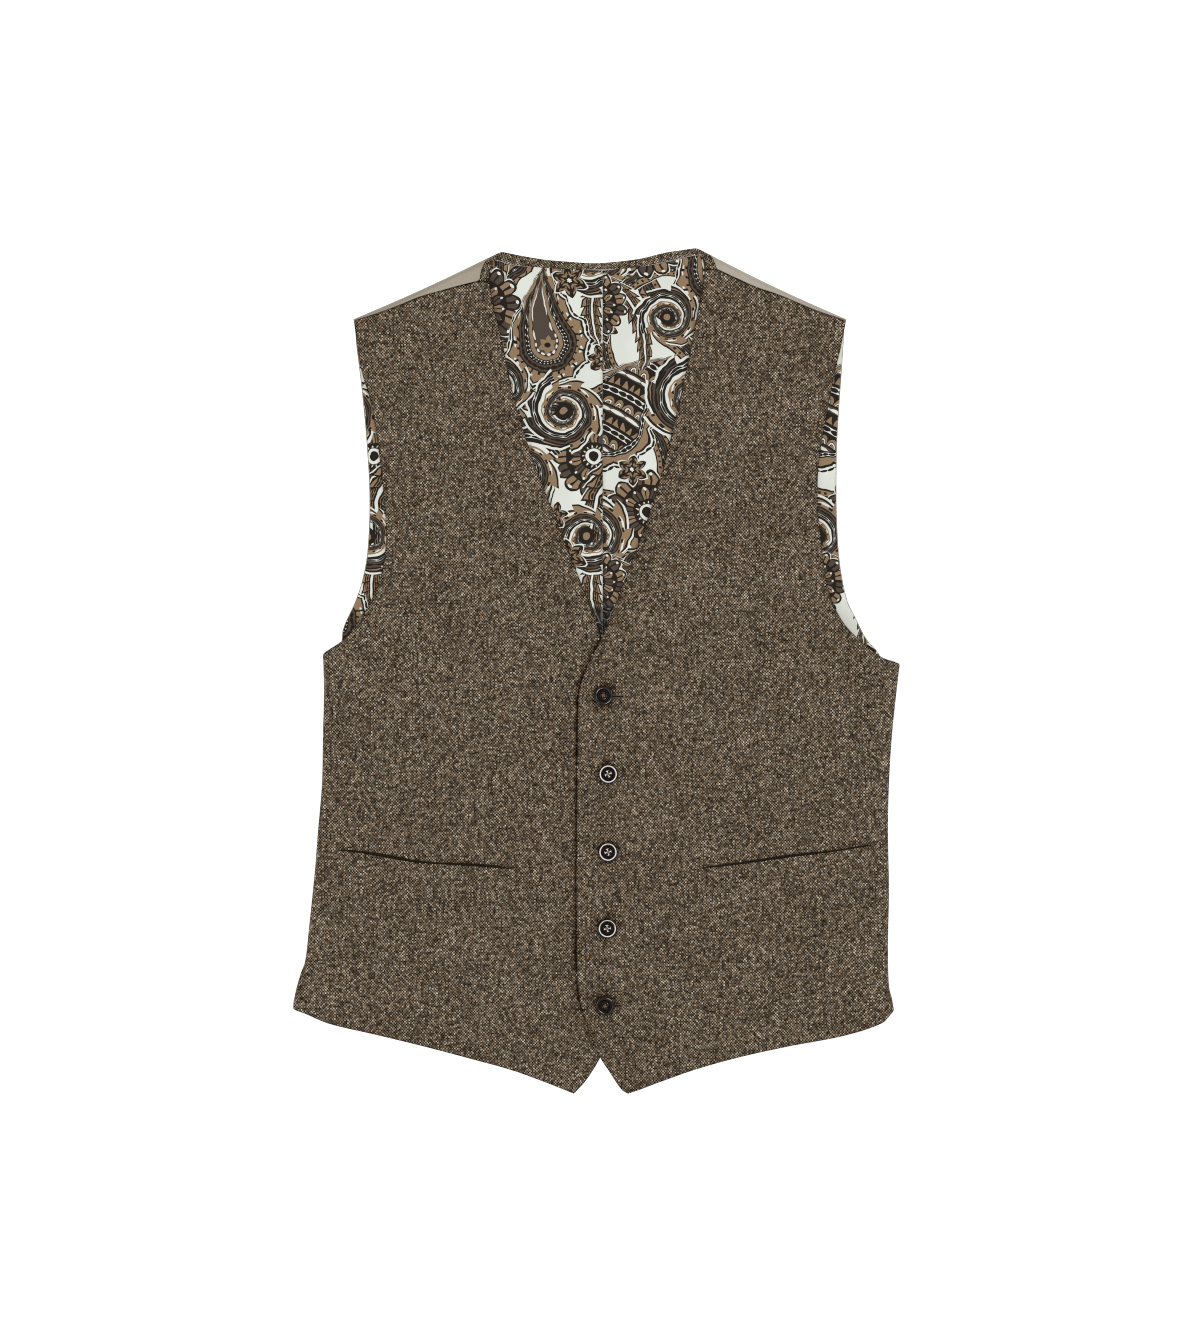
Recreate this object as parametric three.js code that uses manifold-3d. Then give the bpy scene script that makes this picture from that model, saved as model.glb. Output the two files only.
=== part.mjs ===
// A suit waistcoat laid flat on its back and seen from the front: millimetres, +Z up, neck toward +Y.
// Right and left are the wearer's, so the right front lies on the -X side.
import * as THREE from "three";
import { mergeVertices } from "three/addons/utils/BufferGeometryUtils.js";
import Module from "manifold-3d";

const wasm = await Module();
wasm.setup();

// Walls and gaps
const GAP = 0.3;
const FRONT_WALL = 2.0;
const BACK_WALL = 1.0;
const LINING_WALL = 1.0;
const BAND_WALL = 2.0;
const WELT_WALL = 1.5;

// Heights of the middle of each wall above the surface the garment lies on
const BACK_REST = BACK_WALL / 2;
const LINING_REST = BACK_WALL + GAP + LINING_WALL / 2;
const FRONT_REST = BACK_WALL + LINING_WALL + 3 * GAP + FRONT_WALL / 2;
const LAP_LIFT = FRONT_WALL + 0.8;

// The side fold, where each front rolls under to the side seam
const SIDE_RADIUS = 5.5;
const SIDE_AXIS = SIDE_RADIUS + FRONT_WALL / 2;
const SIDE_TOP = FRONT_WALL / 2 + 2 * SIDE_RADIUS;
const SIDE_EASE = 110;
const SIDE_FADE = 110;

// The shoulder fold, where the back rolls over to meet the front
const SHOULDER_AXIS = 3.5;
const SHOULDER_RADIUS = { back: 3.0, band: 2.35, front: 2.35 };
const SEAM_GAP = 0.5;
const SHOULDER_TOP = SHOULDER_AXIS + SHOULDER_RADIUS.front;
const SHOULDER_HOLD = 15;
const SHOULDER_EASE = 60;

// The front edges, hem and centre seam
const LAP_EDGE = 38;
const LAP_EASE = 50;
const LAP_TOP = 35;
const LAP_FADE = 60;
const CENTRE_SEAM = 5;
const NECK_Y = 321;
const LINING_INSET = 1.1;
const HEM_DROP = { start: 273, run: 58 };
const POINT_DROP = { start: 318, run: 20 };

// Buttons
const BUTTON_RADIUS = 7.5;
const BUTTON_SIDES = 20;
const BUTTON_HOLE_RADIUS = 0.95;
const BUTTON_HOLE_SPREAD = 1.75;
const BUTTON_PROFILE = [
  { radius: 0, height: 0 },
  { radius: 6.1, height: 0 },
  { radius: 7.2, height: 0.8 },
  { radius: 7.5, height: 1.7 },
  { radius: 7.2, height: 2.5 },
  { radius: 6.6, height: 2.9 },
  { radius: 5.9, height: 2.6 },
  { radius: 5.4, height: 2.1 },
  { radius: 0, height: 2.4 },
];
const BUTTONS = [
  { name: "button_1", x: 5.8, y: -20, tilt: 9, toward: 60 },
  { name: "button_2", x: 9.4, y: -82.4, tilt: 0, toward: 0 },
  { name: "button_3", x: 9.2, y: -144.8, tilt: 0, toward: 0 },
  { name: "button_4", x: 8.7, y: -206, tilt: 0, toward: 0 },
  { name: "button_5", x: 7.3, y: -267.5, tilt: 8, toward: 250 },
];

const WELT_HEIGHT = 23;
const WELT_GAP = 0.5;
const WELT_COLUMNS = 20;
const WELT_ROWS = 3;

const COLOURS = { tweed: 0x645848, satin: 0x9d9180, lining: 0xb9b4a8, horn: 0x3a2a1e };

// Each side of the garment. fold is the outline of the side, armhole and opening run from hem to
// shoulder, and v is the share of the way up. seam is where the back ends on top of the shoulder:
// along is measured down the shoulder line from the armhole, in from the outline.
const RIGHT = {
  inward: 1,
  fold: [
    { y: -271, x: -242.8 },
    { y: -262, x: -242 },
    { y: -243, x: -237 },
    { y: -233, x: -233.4 },
    { y: -205, x: -230 },
    { y: -166, x: -226 },
    { y: -128, x: -222.8 },
    { y: -90, x: -219.6 },
    { y: -51, x: -218.8 },
    { y: -15, x: -218 },
    { y: 13, x: -218.8 },
  ],
  shoulder: { x: -194.8, y: 281.6, endX: -82.8, endY: 332.8, bow: 1.1 },
  sideTop: { y: 6, v: 0.47 },
  sideSeam: [
    { y: -271, x: -225 },
    { y: -180, x: -215.6 },
    { y: -90, x: -207 },
    { y: 6, x: -206 },
  ],
  hemSide: -270,
  armhole: [
    { v: 0.51, x: -220.9, y: 12.8 },
    { v: 0.54, x: -201.2, y: 25.6 },
    { v: 0.57, x: -192.4, y: 36.8 },
    { v: 0.61, x: -181.2, y: 54.4 },
    { v: 0.64, x: -174, y: 71.2 },
    { v: 0.67, x: -170, y: 88.8 },
    { v: 0.71, x: -168.4, y: 110.4 },
    { v: 0.77, x: -170.8, y: 144.8 },
    { v: 0.83, x: -174.8, y: 179.2 },
    { v: 0.89, x: -180.4, y: 213.6 },
    { v: 0.93, x: -187.4, y: 238 },
    { v: 0.96, x: -190.6, y: 254 },
    { v: 1, x: -194.1, y: 280.1 },
  ],
  opening: [
    { v: 0, x: -18, y: -338.8 },
    { v: 0.03, x: -7.6, y: -327 },
    { v: 0.07, x: 4, y: -308 },
    { v: 0.12, x: 17.5, y: -279 },
    { v: 0.16, x: 23, y: -261 },
    { v: 0.2, x: 24.8, y: -235 },
    { v: 0.45, x: 25, y: -26 },
    { v: 0.475, x: 20, y: -9 },
    { v: 0.505, x: 5.2, y: 24.8 },
    { v: 0.55, x: -6.8, y: 56.8 },
    { v: 0.64, x: -29.2, y: 112.8 },
    { v: 0.8, x: -61.2, y: 200.8 },
    { v: 0.925, x: -77.2, y: 271.2 },
    { v: 0.965, x: -82.8, y: 293.6 },
    { v: 1, x: -86, y: 311.4 },
  ],
  hem: [
    { u: 0.075, x: -241, y: -271 },
    { u: 0.187, x: -214, y: -281.6 },
    { u: 0.346, x: -175.6, y: -291.2 },
    { u: 0.502, x: -138, y: -300.8 },
    { u: 0.652, x: -102, y: -310.4 },
    { u: 0.794, x: -67.6, y: -320 },
    { u: 0.904, x: -41.2, y: -329.6 },
    { u: 1, x: -18, y: -338.8 },
  ],
  backArmhole: [
    { v: 0.49, x: -204.5, y: 22 },
    { v: 0.52, x: -202.8, y: 35.2 },
    { v: 0.55, x: -194, y: 54.4 },
    { v: 0.59, x: -187.6, y: 73.6 },
    { v: 0.63, x: -183.6, y: 96.8 },
    { v: 0.7, x: -182, y: 138 },
    { v: 0.78, x: -184.4, y: 184 },
    { v: 0.86, x: -188.4, y: 227 },
    { v: 0.93, x: -192.6, y: 262 },
    { v: 0.97, x: -193.5, y: 277 },
  ],
  seam: [
    { u: 0, along: 0, turn: 2.15 },
    { u: 0.053, along: 12.6, turn: 2.84 },
    { u: 0.15, along: 34.5, reach: 4.2 },
    { u: 0.246, along: 56, reach: 5.0 },
    { u: 0.318, along: 73, reach: 7.6 },
    { u: 0.384, along: 89, reach: 10.4 },
    { u: 0.449, along: 105, reach: 13.8, corner: true },
    { u: 0.484, along: 109.8, reach: 6.7 },
    { u: 0.525, along: 116.2, turn: 2.4 },
    { u: 0.542, along: 119, turn: 1.57 },
    { u: 0.556, along: 121.2, turn: 0.8 },
    { u: 0.57, along: 123.4, under: 3.6 },
    { u: 0.6, along: 127.7, under: 7.4 },
    { u: 0.635, along: 133.3, under: 12.5 },
  ],
  neck: [
    { u: 0.715, x: -52.4, y: 324 },
    { u: 0.783, x: -38.8, y: 322.8 },
    { u: 0.855, x: -24.4, y: 322 },
    { u: 0.91, x: -13.2, y: 321.6 },
  ],
  neckEdge: [
    { along: 110.9, reach: 16.8 },
    { along: 116, reach: 9.8 },
    { along: 130.4, turn: 1.57 },
    { along: 143.5, under: 9.3 },
  ],
  neckBack: [
    { x: -41.2, y: 329.6 },
    { x: -22, y: 328 },
    { x: -2.8, y: 326.8 },
  ],
  crease: [
    { x: -196, y: -205, length: 70, width: 14, lean: 0.5, depth: 1.2 },
    { x: -150, y: 120, length: 60, width: 12, lean: 0.2, depth: 0.6 },
  ],
  welt: [
    { x: -207.6, y: -143.2 },
    { x: -186.8, y: -145.6 },
    { x: -145.2, y: -153 },
    { x: -105.2, y: -155.8 },
    { x: -68.4, y: -158.4 },
  ],
};

const LEFT = {
  inward: -1,
  fold: [
    { y: -272, x: 238 },
    { y: -262, x: 236.4 },
    { y: -253, x: 234.2 },
    { y: -224, x: 233.2 },
    { y: -176, x: 234 },
    { y: -128, x: 233.2 },
    { y: -90, x: 234 },
    { y: -51, x: 236.4 },
    { y: -13, x: 240.4 },
    { y: 6, x: 242.8 },
  ],
  shoulder: { x: 200.4, y: 281.6, endX: 82.8, endY: 337.6, bow: 1.5 },
  sideTop: { y: 0, v: 0.47 },
  sideSeam: [
    { y: -272, x: 222 },
    { y: -180, x: 221.5 },
    { y: -90, x: 222 },
    { y: 0, x: 229.5 },
  ],
  hemSide: -268,
  armhole: [
    { v: 0.49, x: 245, y: 5.2 },
    { v: 0.515, x: 227.6, y: 11.2 },
    { v: 0.55, x: 209.2, y: 25.6 },
    { v: 0.58, x: 196.4, y: 40 },
    { v: 0.62, x: 186.8, y: 60.8 },
    { v: 0.66, x: 182, y: 82.4 },
    { v: 0.7, x: 179.6, y: 106.4 },
    { v: 0.745, x: 177.4, y: 130 },
    { v: 0.79, x: 177.2, y: 156 },
    { v: 0.84, x: 180.4, y: 184 },
    { v: 0.9, x: 186.8, y: 217.6 },
    { v: 0.94, x: 190.8, y: 240 },
    { v: 0.97, x: 194.8, y: 256 },
    { v: 1, x: 199.7, y: 280.1 },
  ],
  opening: [
    { v: 0, x: 25.2, y: -338.8 },
    { v: 0.02, x: 19.6, y: -335 },
    { v: 0.05, x: 10.4, y: -321 },
    { v: 0.085, x: 2.8, y: -308.8 },
    { v: 0.13, x: -9.2, y: -279.2 },
    { v: 0.16, x: -13.5, y: -263 },
    { v: 0.2, x: -16, y: -235 },
    { v: 0.44, x: -14.8, y: -23.2 },
    { v: 0.465, x: -11.6, y: -7.2 },
    { v: 0.49, x: -5.2, y: 8.8 },
    { v: 0.52, x: 5.2, y: 28.8 },
    { v: 0.58, x: 20.4, y: 67.2 },
    { v: 0.65, x: 35.6, y: 107.2 },
    { v: 0.73, x: 50.8, y: 152.8 },
    { v: 0.8, x: 62, y: 197.6 },
    { v: 0.88, x: 73.2, y: 247.2 },
    { v: 0.935, x: 79.6, y: 280.8 },
    { v: 0.975, x: 84.4, y: 306.4 },
    { v: 1, x: 86.8, y: 320.8 },
  ],
  hem: [
    { u: 0.075, x: 237.2, y: -272.8 },
    { u: 0.113, x: 228.4, y: -281 },
    { u: 0.242, x: 198.8, y: -291.2 },
    { u: 0.445, x: 152.4, y: -300.8 },
    { u: 0.626, x: 110.8, y: -310.4 },
    { u: 0.773, x: 77.2, y: -320 },
    { u: 0.892, x: 50, y: -329.6 },
    { u: 0.955, x: 35.6, y: -335.2 },
    { u: 1, x: 25.2, y: -338.8 },
  ],
  backArmhole: [
    { v: 0.49, x: 228, y: 9 },
    { v: 0.51, x: 225.2, y: 16 },
    { v: 0.53, x: 216.4, y: 25.6 },
    { v: 0.56, x: 206.8, y: 44.8 },
    { v: 0.58, x: 201.2, y: 56 },
    { v: 0.62, x: 195.6, y: 83.2 },
    { v: 0.66, x: 193.2, y: 112 },
    { v: 0.72, x: 192.4, y: 144.8 },
    { v: 0.78, x: 192.8, y: 176.8 },
    { v: 0.83, x: 194, y: 202.4 },
    { v: 0.9, x: 196.4, y: 236.8 },
    { v: 0.95, x: 198.2, y: 264 },
    { v: 0.97, x: 198.8, y: 277 },
  ],
  seam: [
    { u: 0, along: 0, turn: 2.21 },
    { u: 0.097, along: 22, turn: 3.07 },
    { u: 0.184, along: 41, reach: 3.85 },
    { u: 0.257, along: 57, reach: 4.4 },
    { u: 0.346, along: 77.5, reach: 6.8 },
    { u: 0.424, along: 95, reach: 7.5 },
    { u: 0.5, along: 112, reach: 8, corner: true },
    { u: 0.52, along: 115, reach: 4.1 },
    { u: 0.545, along: 118.7, turn: 2.4 },
    { u: 0.565, along: 122, turn: 1.57 },
    { u: 0.586, along: 125.5, turn: 0.75 },
    { u: 0.605, along: 128.6, under: 3.6 },
    { u: 0.65, along: 136, under: 8.5 },
    { u: 0.745, along: 151, under: 20.7 },
  ],
  neck: [
    { u: 0.845, x: 35.6, y: 324 },
    { u: 0.943, x: 16.4, y: 321.8 },
  ],
  neckEdge: [
    { along: 119.6, reach: 12.4 },
    { along: 121.5, reach: 7.3 },
    { along: 133, turn: 1.57 },
    { along: 146.5, under: 8.7 },
  ],
  neckBack: [
    { x: 54.8, y: 335.2 },
    { x: 35.6, y: 330.6 },
    { x: 16.4, y: 328 },
  ],
  crease: [
    { x: 183, y: -10, length: 55, width: 11, lean: -0.12, depth: 1.2 },
    { x: 206, y: -225, length: 55, width: 13, lean: -0.35, depth: 0.9 },
  ],
  welt: [
    { x: 81.2, y: -158.4 },
    { x: 115.6, y: -154.6 },
    { x: 156.4, y: -148.8 },
    { x: 188, y: -144.6 },
    { x: 220.4, y: -139.2 },
  ],
};

// Shares along and across the panels where their grids have lines
const FRONT_ROLL_COLUMNS = [0, 0.012, 0.024, 0.036, 0.048, 0.06, 0.072, 0.085, 0.1];
const FRONT_OPEN_COLUMNS = [0.13, 0.17, 0.215, 0.265, 0.32, 0.38, 0.45, 0.52, 0.6, 0.68, 0.76, 0.84, 0.92, 1];
const FRONT_COLUMNS = [...FRONT_ROLL_COLUMNS, ...FRONT_OPEN_COLUMNS];
const SIDE_ROWS = [0, 0.045, 0.1, 0.16, 0.22, 0.29, 0.36, 0.43, 0.47];
const HEM_ROWS = [0, 0.02, 0.045, 0.07];
const FRONT_TOP_ROWS = [0.49, 0.51, 0.53, 0.55, 0.58, 0.62, 0.67, 0.73, 0.79, 0.85, 0.91, 0.96, 1];
const FRONT_ROWS = [...HEM_ROWS, ...SIDE_ROWS.slice(2), ...FRONT_TOP_ROWS];
const ROLL_ROW = 0.95;
const FLAT_START = 0.994;
const ROLL_LINES = 9;
const LINING_ROWS = [...SIDE_ROWS, 0.5, 0.53, 0.56, 0.6, 0.66, 0.74, 0.83, 0.9, ROLL_ROW];
const BACK_ROWS = [...LINING_ROWS];
for (let i = 1; i <= ROLL_LINES; i++) BACK_ROWS.push(ROLL_ROW + ((1 - ROLL_ROW) * i) / ROLL_LINES);
const BAND_COLUMNS = 36;
const BAND_START = 0.13;

const clamp = (value) => Math.min(1, Math.max(0, value));
const ease = (value) => {
  const t = clamp(value);
  return t * t * (3 - 2 * t);
};

// A smooth line through the rows of a table, read by one of its columns. A row marked corner is a
// sharp turn.
function through(rows, key) {
  const columns = Object.keys(rows[0]).filter((name) => name !== key && name !== "corner");
  const slope = (i, side, name) => {
    const own = side > 0 ? [i, i + 1] : [i - 1, i];
    const open = i === 0 || i === rows.length - 1 || rows[i].corner;
    const [a, b] = open ? own : [i - 1, i + 1];
    return (rows[b][name] - rows[a][name]) / (rows[b][key] - rows[a][key]);
  };
  return (at) => {
    let i = 0;
    while (i < rows.length - 2 && at > rows[i + 1][key]) i++;
    const step = rows[i + 1][key] - rows[i][key];
    const t = clamp((at - rows[i][key]) / step);
    const point = {};
    for (const name of columns) {
      const from = rows[i][name];
      const to = rows[i + 1][name];
      const out = slope(i, 1, name) * step;
      const into = slope(i + 1, -1, name) * step;
      const bend = (2 * (from - to) + out + into) * t + 3 * (to - from) - 2 * out - into;
      point[name] = from + t * (out + t * bend);
    }
    return point;
  };
}

// The shoulder line as a frame: along it from the armhole, and in from the outline.
function shoulderFrame({ shoulder, inward }) {
  const run = Math.hypot(shoulder.endX - shoulder.x, shoulder.endY - shoulder.y);
  const fx = (shoulder.endX - shoulder.x) / run;
  const fy = (shoulder.endY - shoulder.y) / run;
  const nx = fy * inward;
  const ny = -fx * inward;
  const bow = (along) => shoulder.bow * Math.sin(Math.PI * clamp(along / run));
  return {
    measure(x, y) {
      const along = (x - shoulder.x) * fx + (y - shoulder.y) * fy;
      return { along, inset: (x - shoulder.x) * nx + (y - shoulder.y) * ny - bow(along) };
    },
    place(along, inset) {
      const off = inset + bow(along);
      return { x: shoulder.x + fx * along + nx * off, y: shoulder.y + fy * along + ny * off };
    },
    shift: (by) => [nx * by, ny * by],
  };
}

// Where a row of a seam table lies on cloth laid out flat, for cloth that rolls at this radius.
function flatInset(row, radius) {
  if (row.under !== undefined) return row.under;
  if (row.turn !== undefined) return SHOULDER_AXIS - radius * row.turn;
  return 2 * SHOULDER_AXIS - radius * Math.PI - row.reach;
}

// The same for the front, which comes to the seam from the other side.
function frontInset(row) {
  if (row.turn === undefined) return row.reach + SEAM_GAP;
  return SHOULDER_AXIS - SHOULDER_RADIUS.front * (Math.PI - row.turn) + SEAM_GAP;
}

// Folds flat cloth over the shoulder line, from its lower layer up and over.
function foldOver(side, radius) {
  const frame = shoulderFrame(side);
  return ({ x, y }) => {
    const { inset } = frame.measure(x, y);
    if (inset >= SHOULDER_AXIS) return [x, y, SHOULDER_AXIS - radius];
    const turn = (SHOULDER_AXIS - inset) / radius;
    const beyond = Math.max(0, turn - Math.PI) * radius;
    const angle = Math.min(turn, Math.PI);
    const [dx, dy] = frame.shift(SHOULDER_AXIS - radius * Math.sin(angle) + beyond - inset);
    return [x + dx, y + dy, SHOULDER_AXIS - radius * Math.cos(angle)];
  };
}

function creases(side, x, y) {
  let height = 0;
  for (const crease of side.crease) {
    const along = (y - crease.y) / crease.length;
    const across = (x - crease.x - crease.lean * (y - crease.y)) / crease.width;
    height += crease.depth * Math.exp(-2 * along * along - across * across) * Math.cos(1.8 * across);
  }
  return height;
}

// Height of the middle of a front's wall where it lies open, before its edges roll.
function frontHeight(side, x, y) {
  const fold = side.edge(y).x;
  const fromSide = side.inward * (x - fold);
  const { inset } = side.frame.measure(x, y);
  const sideRise = (1 - ease((fromSide - SIDE_AXIS) / SIDE_EASE)) * (1 - ease((y - 20) / SIDE_FADE));
  const shoulderRise = 1 - ease((inset - SHOULDER_HOLD) / SHOULDER_EASE);
  const open = ease((fromSide - SIDE_AXIS) / 12);
  let height = FRONT_REST + (SIDE_TOP - FRONT_REST) * sideRise + (SHOULDER_TOP - FRONT_REST) * shoulderRise;
  height += open * (1 - sideRise * 0.5) * creases(side, x, y);
  height -= open * (FRONT_REST - FRONT_WALL / 2) * ease((-y - HEM_DROP.start) / HEM_DROP.run);
  if (side.inward < 0) {
    const lap = (1 - ease((x - LAP_EDGE) / LAP_EASE)) * (1 - ease((y - LAP_TOP) / LAP_FADE));
    height += LAP_LIFT * lap * (1 - ease((-y - POINT_DROP.start) / POINT_DROP.run));
  }
  return height;
}

// Places a flat point of a front: rolled under at the side, and down at the shoulder fold.
function placeFront(side, { x, y }) {
  let height = frontHeight(side, x, y);
  let px = x;
  let py = y;
  const fold = side.edge(y).x;
  const fromSide = side.inward * (x - fold);
  if (fromSide < SIDE_AXIS) {
    const turn = (SIDE_AXIS - fromSide) / SIDE_RADIUS;
    const angle = Math.min(turn, Math.PI);
    const beyond = Math.max(0, turn - Math.PI) * SIDE_RADIUS;
    px = fold + side.inward * (SIDE_AXIS - SIDE_RADIUS * Math.sin(angle) + beyond);
    height -= SIDE_RADIUS * (1 - Math.cos(angle));
  }
  const { inset } = side.frame.measure(x, y);
  if (inset < SHOULDER_AXIS) {
    const angle = (SHOULDER_AXIS - inset) / SHOULDER_RADIUS.front;
    const [dx, dy] = side.frame.shift(SHOULDER_AXIS - SHOULDER_RADIUS.front * Math.sin(angle) - inset);
    px += dx;
    py += dy;
    height -= SHOULDER_RADIUS.front * (1 - Math.cos(angle));
  }
  return [px, py, height];
}

// A flat patch between four edge lines that share their corners, read by its two shares.
function patch(outer, inner, lower, upper) {
  const [a, b, c, d] = [lower(0), lower(1), upper(0), upper(1)];
  return (u, v) => {
    const [from, to, low, high] = [outer(v), inner(v), lower(u), upper(u)];
    const point = {};
    for (const k of ["x", "y"]) {
      const corners = (1 - v) * ((1 - u) * a[k] + u * b[k]) + v * ((1 - u) * c[k] + u * d[k]);
      point[k] = (1 - u) * from[k] + u * to[k] + (1 - v) * low[k] + v * high[k] - corners;
    }
    return point;
  };
}

// Where up a column of the back the cloth starts to roll over the shoulder. A column that doesn't
// roll has its last rows close to its end, so that the rise beside it stays short.
function rollStart(side, flat, u) {
  const insetAt = (v) => {
    const { x, y } = flat(u, v);
    return side.frame.measure(x, y).inset;
  };
  if (insetAt(1) > SHOULDER_AXIS) return FLAT_START;
  let [low, high] = [0.8, 1];
  for (let i = 0; i < 30; i++) {
    const middle = (low + high) / 2;
    if (insetAt(middle) > SHOULDER_AXIS) low = middle;
    else high = middle;
  }
  return low;
}

const minus = (a, b) => [a[0] - b[0], a[1] - b[1], a[2] - b[2]];
const cross = (a, b) => [a[1] * b[2] - a[2] * b[1], a[2] * b[0] - a[0] * b[2], a[0] * b[1] - a[1] * b[0]];
const unit = (a) => a.map((value) => value / Math.hypot(...a));

// Unit normals of a grid of points, on the side given by turning from columns to rows.
function gridNormals(grid) {
  const last = grid.length - 1;
  return grid.map((line, j) =>
    line.map((_, i) => {
      const across = minus(line[Math.min(i + 1, line.length - 1)], line[Math.max(i - 1, 0)]);
      const up = minus(grid[Math.min(j + 1, last)][i], grid[Math.max(j - 1, 0)][i]);
      return unit(cross(across, up));
    }),
  );
}

const offset = (point, normal, by) => point.map((value, k) => value + normal[k] * by);

// A closed body from two grids of the same size, the first on the side its normals point to.
function bodyBetween(outer, inner) {
  const rows = outer.length;
  const columns = outer[0].length;
  const positions = [...outer.flat(), ...inner.flat()].flat();
  const far = rows * columns;
  const at = (j, i) => j * columns + i;
  const index = [];
  const quad = (a, b, c, d) => index.push(a, b, c, a, c, d);
  for (let j = 0; j < rows - 1; j++) {
    for (let i = 0; i < columns - 1; i++) {
      quad(at(j, i), at(j, i + 1), at(j + 1, i + 1), at(j + 1, i));
      quad(far + at(j, i), far + at(j + 1, i), far + at(j + 1, i + 1), far + at(j, i + 1));
    }
  }
  for (let i = 0; i < columns - 1; i++) {
    quad(at(0, i + 1), at(0, i), far + at(0, i), far + at(0, i + 1));
    quad(at(rows - 1, i), at(rows - 1, i + 1), far + at(rows - 1, i + 1), far + at(rows - 1, i));
  }
  for (let j = 0; j < rows - 1; j++) {
    quad(at(j, 0), at(j + 1, 0), far + at(j + 1, 0), far + at(j, 0));
    quad(at(j + 1, columns - 1), at(j, columns - 1), far + at(j, columns - 1), far + at(j + 1, columns - 1));
  }
  const geometry = new THREE.BufferGeometry();
  geometry.setAttribute("position", new THREE.Float32BufferAttribute(positions, 3));
  geometry.setIndex(index);
  geometry.computeVertexNormals();
  return geometry;
}

function wallAround(grid, wall) {
  const normals = gridNormals(grid);
  const layer = (by) => grid.map((line, j) => line.map((point, i) => offset(point, normals[j][i], by)));
  return bodyBetween(layer(wall / 2), layer(-wall / 2));
}

// Grids of the side's panels run from the side seam to the centre. The -X side's normals then point
// up, and the +X side's rows are turned round so that its normals do too.
const facing = (side, grid) => (side.inward > 0 ? grid : grid.map((line) => [...line].reverse()));

function frontGrid(side) {
  const edgeAt = (y) => {
    const fold = side.edge(y).x;
    const under = side.inward * (side.underSeam(y).x - fold) - GAP;
    return { x: fold + side.inward * (2 * SIDE_AXIS - SIDE_RADIUS * Math.PI - under), y };
  };
  const { v: seamTop, y: topY } = side.sideTop;
  const rows = side.seam.slice(0, side.seam.findIndex((row) => row.corner) + 1);
  const neckEnd = side.opening[side.opening.length - 1];
  const tops = rows.map((row) => ({ corner: row.corner, ...side.frame.place(row.along, frontInset(row)) }));
  tops.push({ x: neckEnd.x, y: neckEnd.y });
  const span = neckEnd.x - tops[0].x;
  const seam = through(tops.map((row) => ({ ...row, u: (row.x - tops[0].x) / span })), "u");
  const lower = [...side.armhole.slice(0, -1), { v: 1, x: tops[0].x, y: tops[0].y }];
  const armhole = through([{ v: seamTop, ...edgeAt(topY) }, ...lower], "v");
  const sideRun = topY - side.hemSide;
  const outer = (v) => (v < seamTop ? edgeAt(side.hemSide + (sideRun * v) / seamTop) : armhole(v));
  const opening = through(side.opening, "v");
  const hem = through([{ u: 0, ...edgeAt(side.hemSide) }, ...side.hem], "u");
  const flat = patch(outer, opening, hem, seam);
  return FRONT_ROWS.map((v) => FRONT_COLUMNS.map((u) => placeFront(side, flat(u, v))));
}

// A flat half of the back or its lining, up to the given top line.
function backPatch(side, inset, top) {
  const edgeAt = (y) => ({ x: side.underSeam(y).x + side.inward * (GAP / 2 + inset), y });
  const seamX = CENTRE_SEAM - (side.inward * GAP) / 2;
  const { v: seamTop, y: topY } = side.sideTop;
  const moved = side.backArmhole.map((row) => ({ ...row, x: row.x + side.inward * inset }));
  const shoulderEnd = { v: 1, x: top[0].x, y: top[0].y };
  const armhole = through([{ v: seamTop, ...edgeAt(topY) }, ...moved, shoulderEnd], "v");
  const sideRun = topY - side.hemSide;
  const outer = (v) => (v < seamTop ? edgeAt(side.hemSide + (sideRun * v) / seamTop) : armhole(v));
  const neckline = through([...top, ...side.neck, { u: 1, x: seamX, y: NECK_Y }], "u");
  const inner = (v) => ({ x: seamX, y: side.hemSide + (NECK_Y - side.hemSide) * v });
  const hemStart = edgeAt(side.hemSide);
  const hem = (u) => ({ x: hemStart.x + (seamX - hemStart.x) * u, y: side.hemSide });
  return patch(outer, inner, hem, neckline);
}

function backGrid(side) {
  const radius = SHOULDER_RADIUS.back;
  const top = side.seam.map((row) => ({
    u: row.u,
    corner: row.corner,
    ...side.frame.place(row.along, flatInset(row, radius)),
  }));
  const flat = backPatch(side, 0, top);
  const fold = foldOver(side, radius);
  const columns = [...side.seam, ...side.neck].map((row) => row.u).concat(1);
  const starts = columns.map((u) => rollStart(side, flat, u));
  return BACK_ROWS.map((v) =>
    columns.map((u, i) => {
      const past = Math.max(0, v - ROLL_ROW) / (1 - ROLL_ROW);
      return fold(flat(u, (Math.min(v, ROLL_ROW) * starts[i]) / ROLL_ROW + past * (1 - starts[i])));
    }),
  );
}

// The lining lies flat on the back and ends where the back starts to roll over the shoulder.
function liningGrid(side) {
  const top = side.seam.map((row) => ({
    u: row.u,
    ...side.frame.place(row.along, Math.max((row.under ?? 0) + LINING_INSET, SHOULDER_AXIS + LINING_INSET)),
  }));
  const flat = backPatch(side, LINING_INSET, top);
  const kept = [...side.seam.filter((row) => row.turn === undefined), ...side.neck];
  const columns = [0, ...kept.map((row) => row.u), 1];
  return LINING_ROWS.map((v) =>
    columns.map((u) => {
      const { x, y } = flat(u, v / ROLL_ROW);
      return [x, y, LINING_REST];
    }),
  );
}

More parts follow.
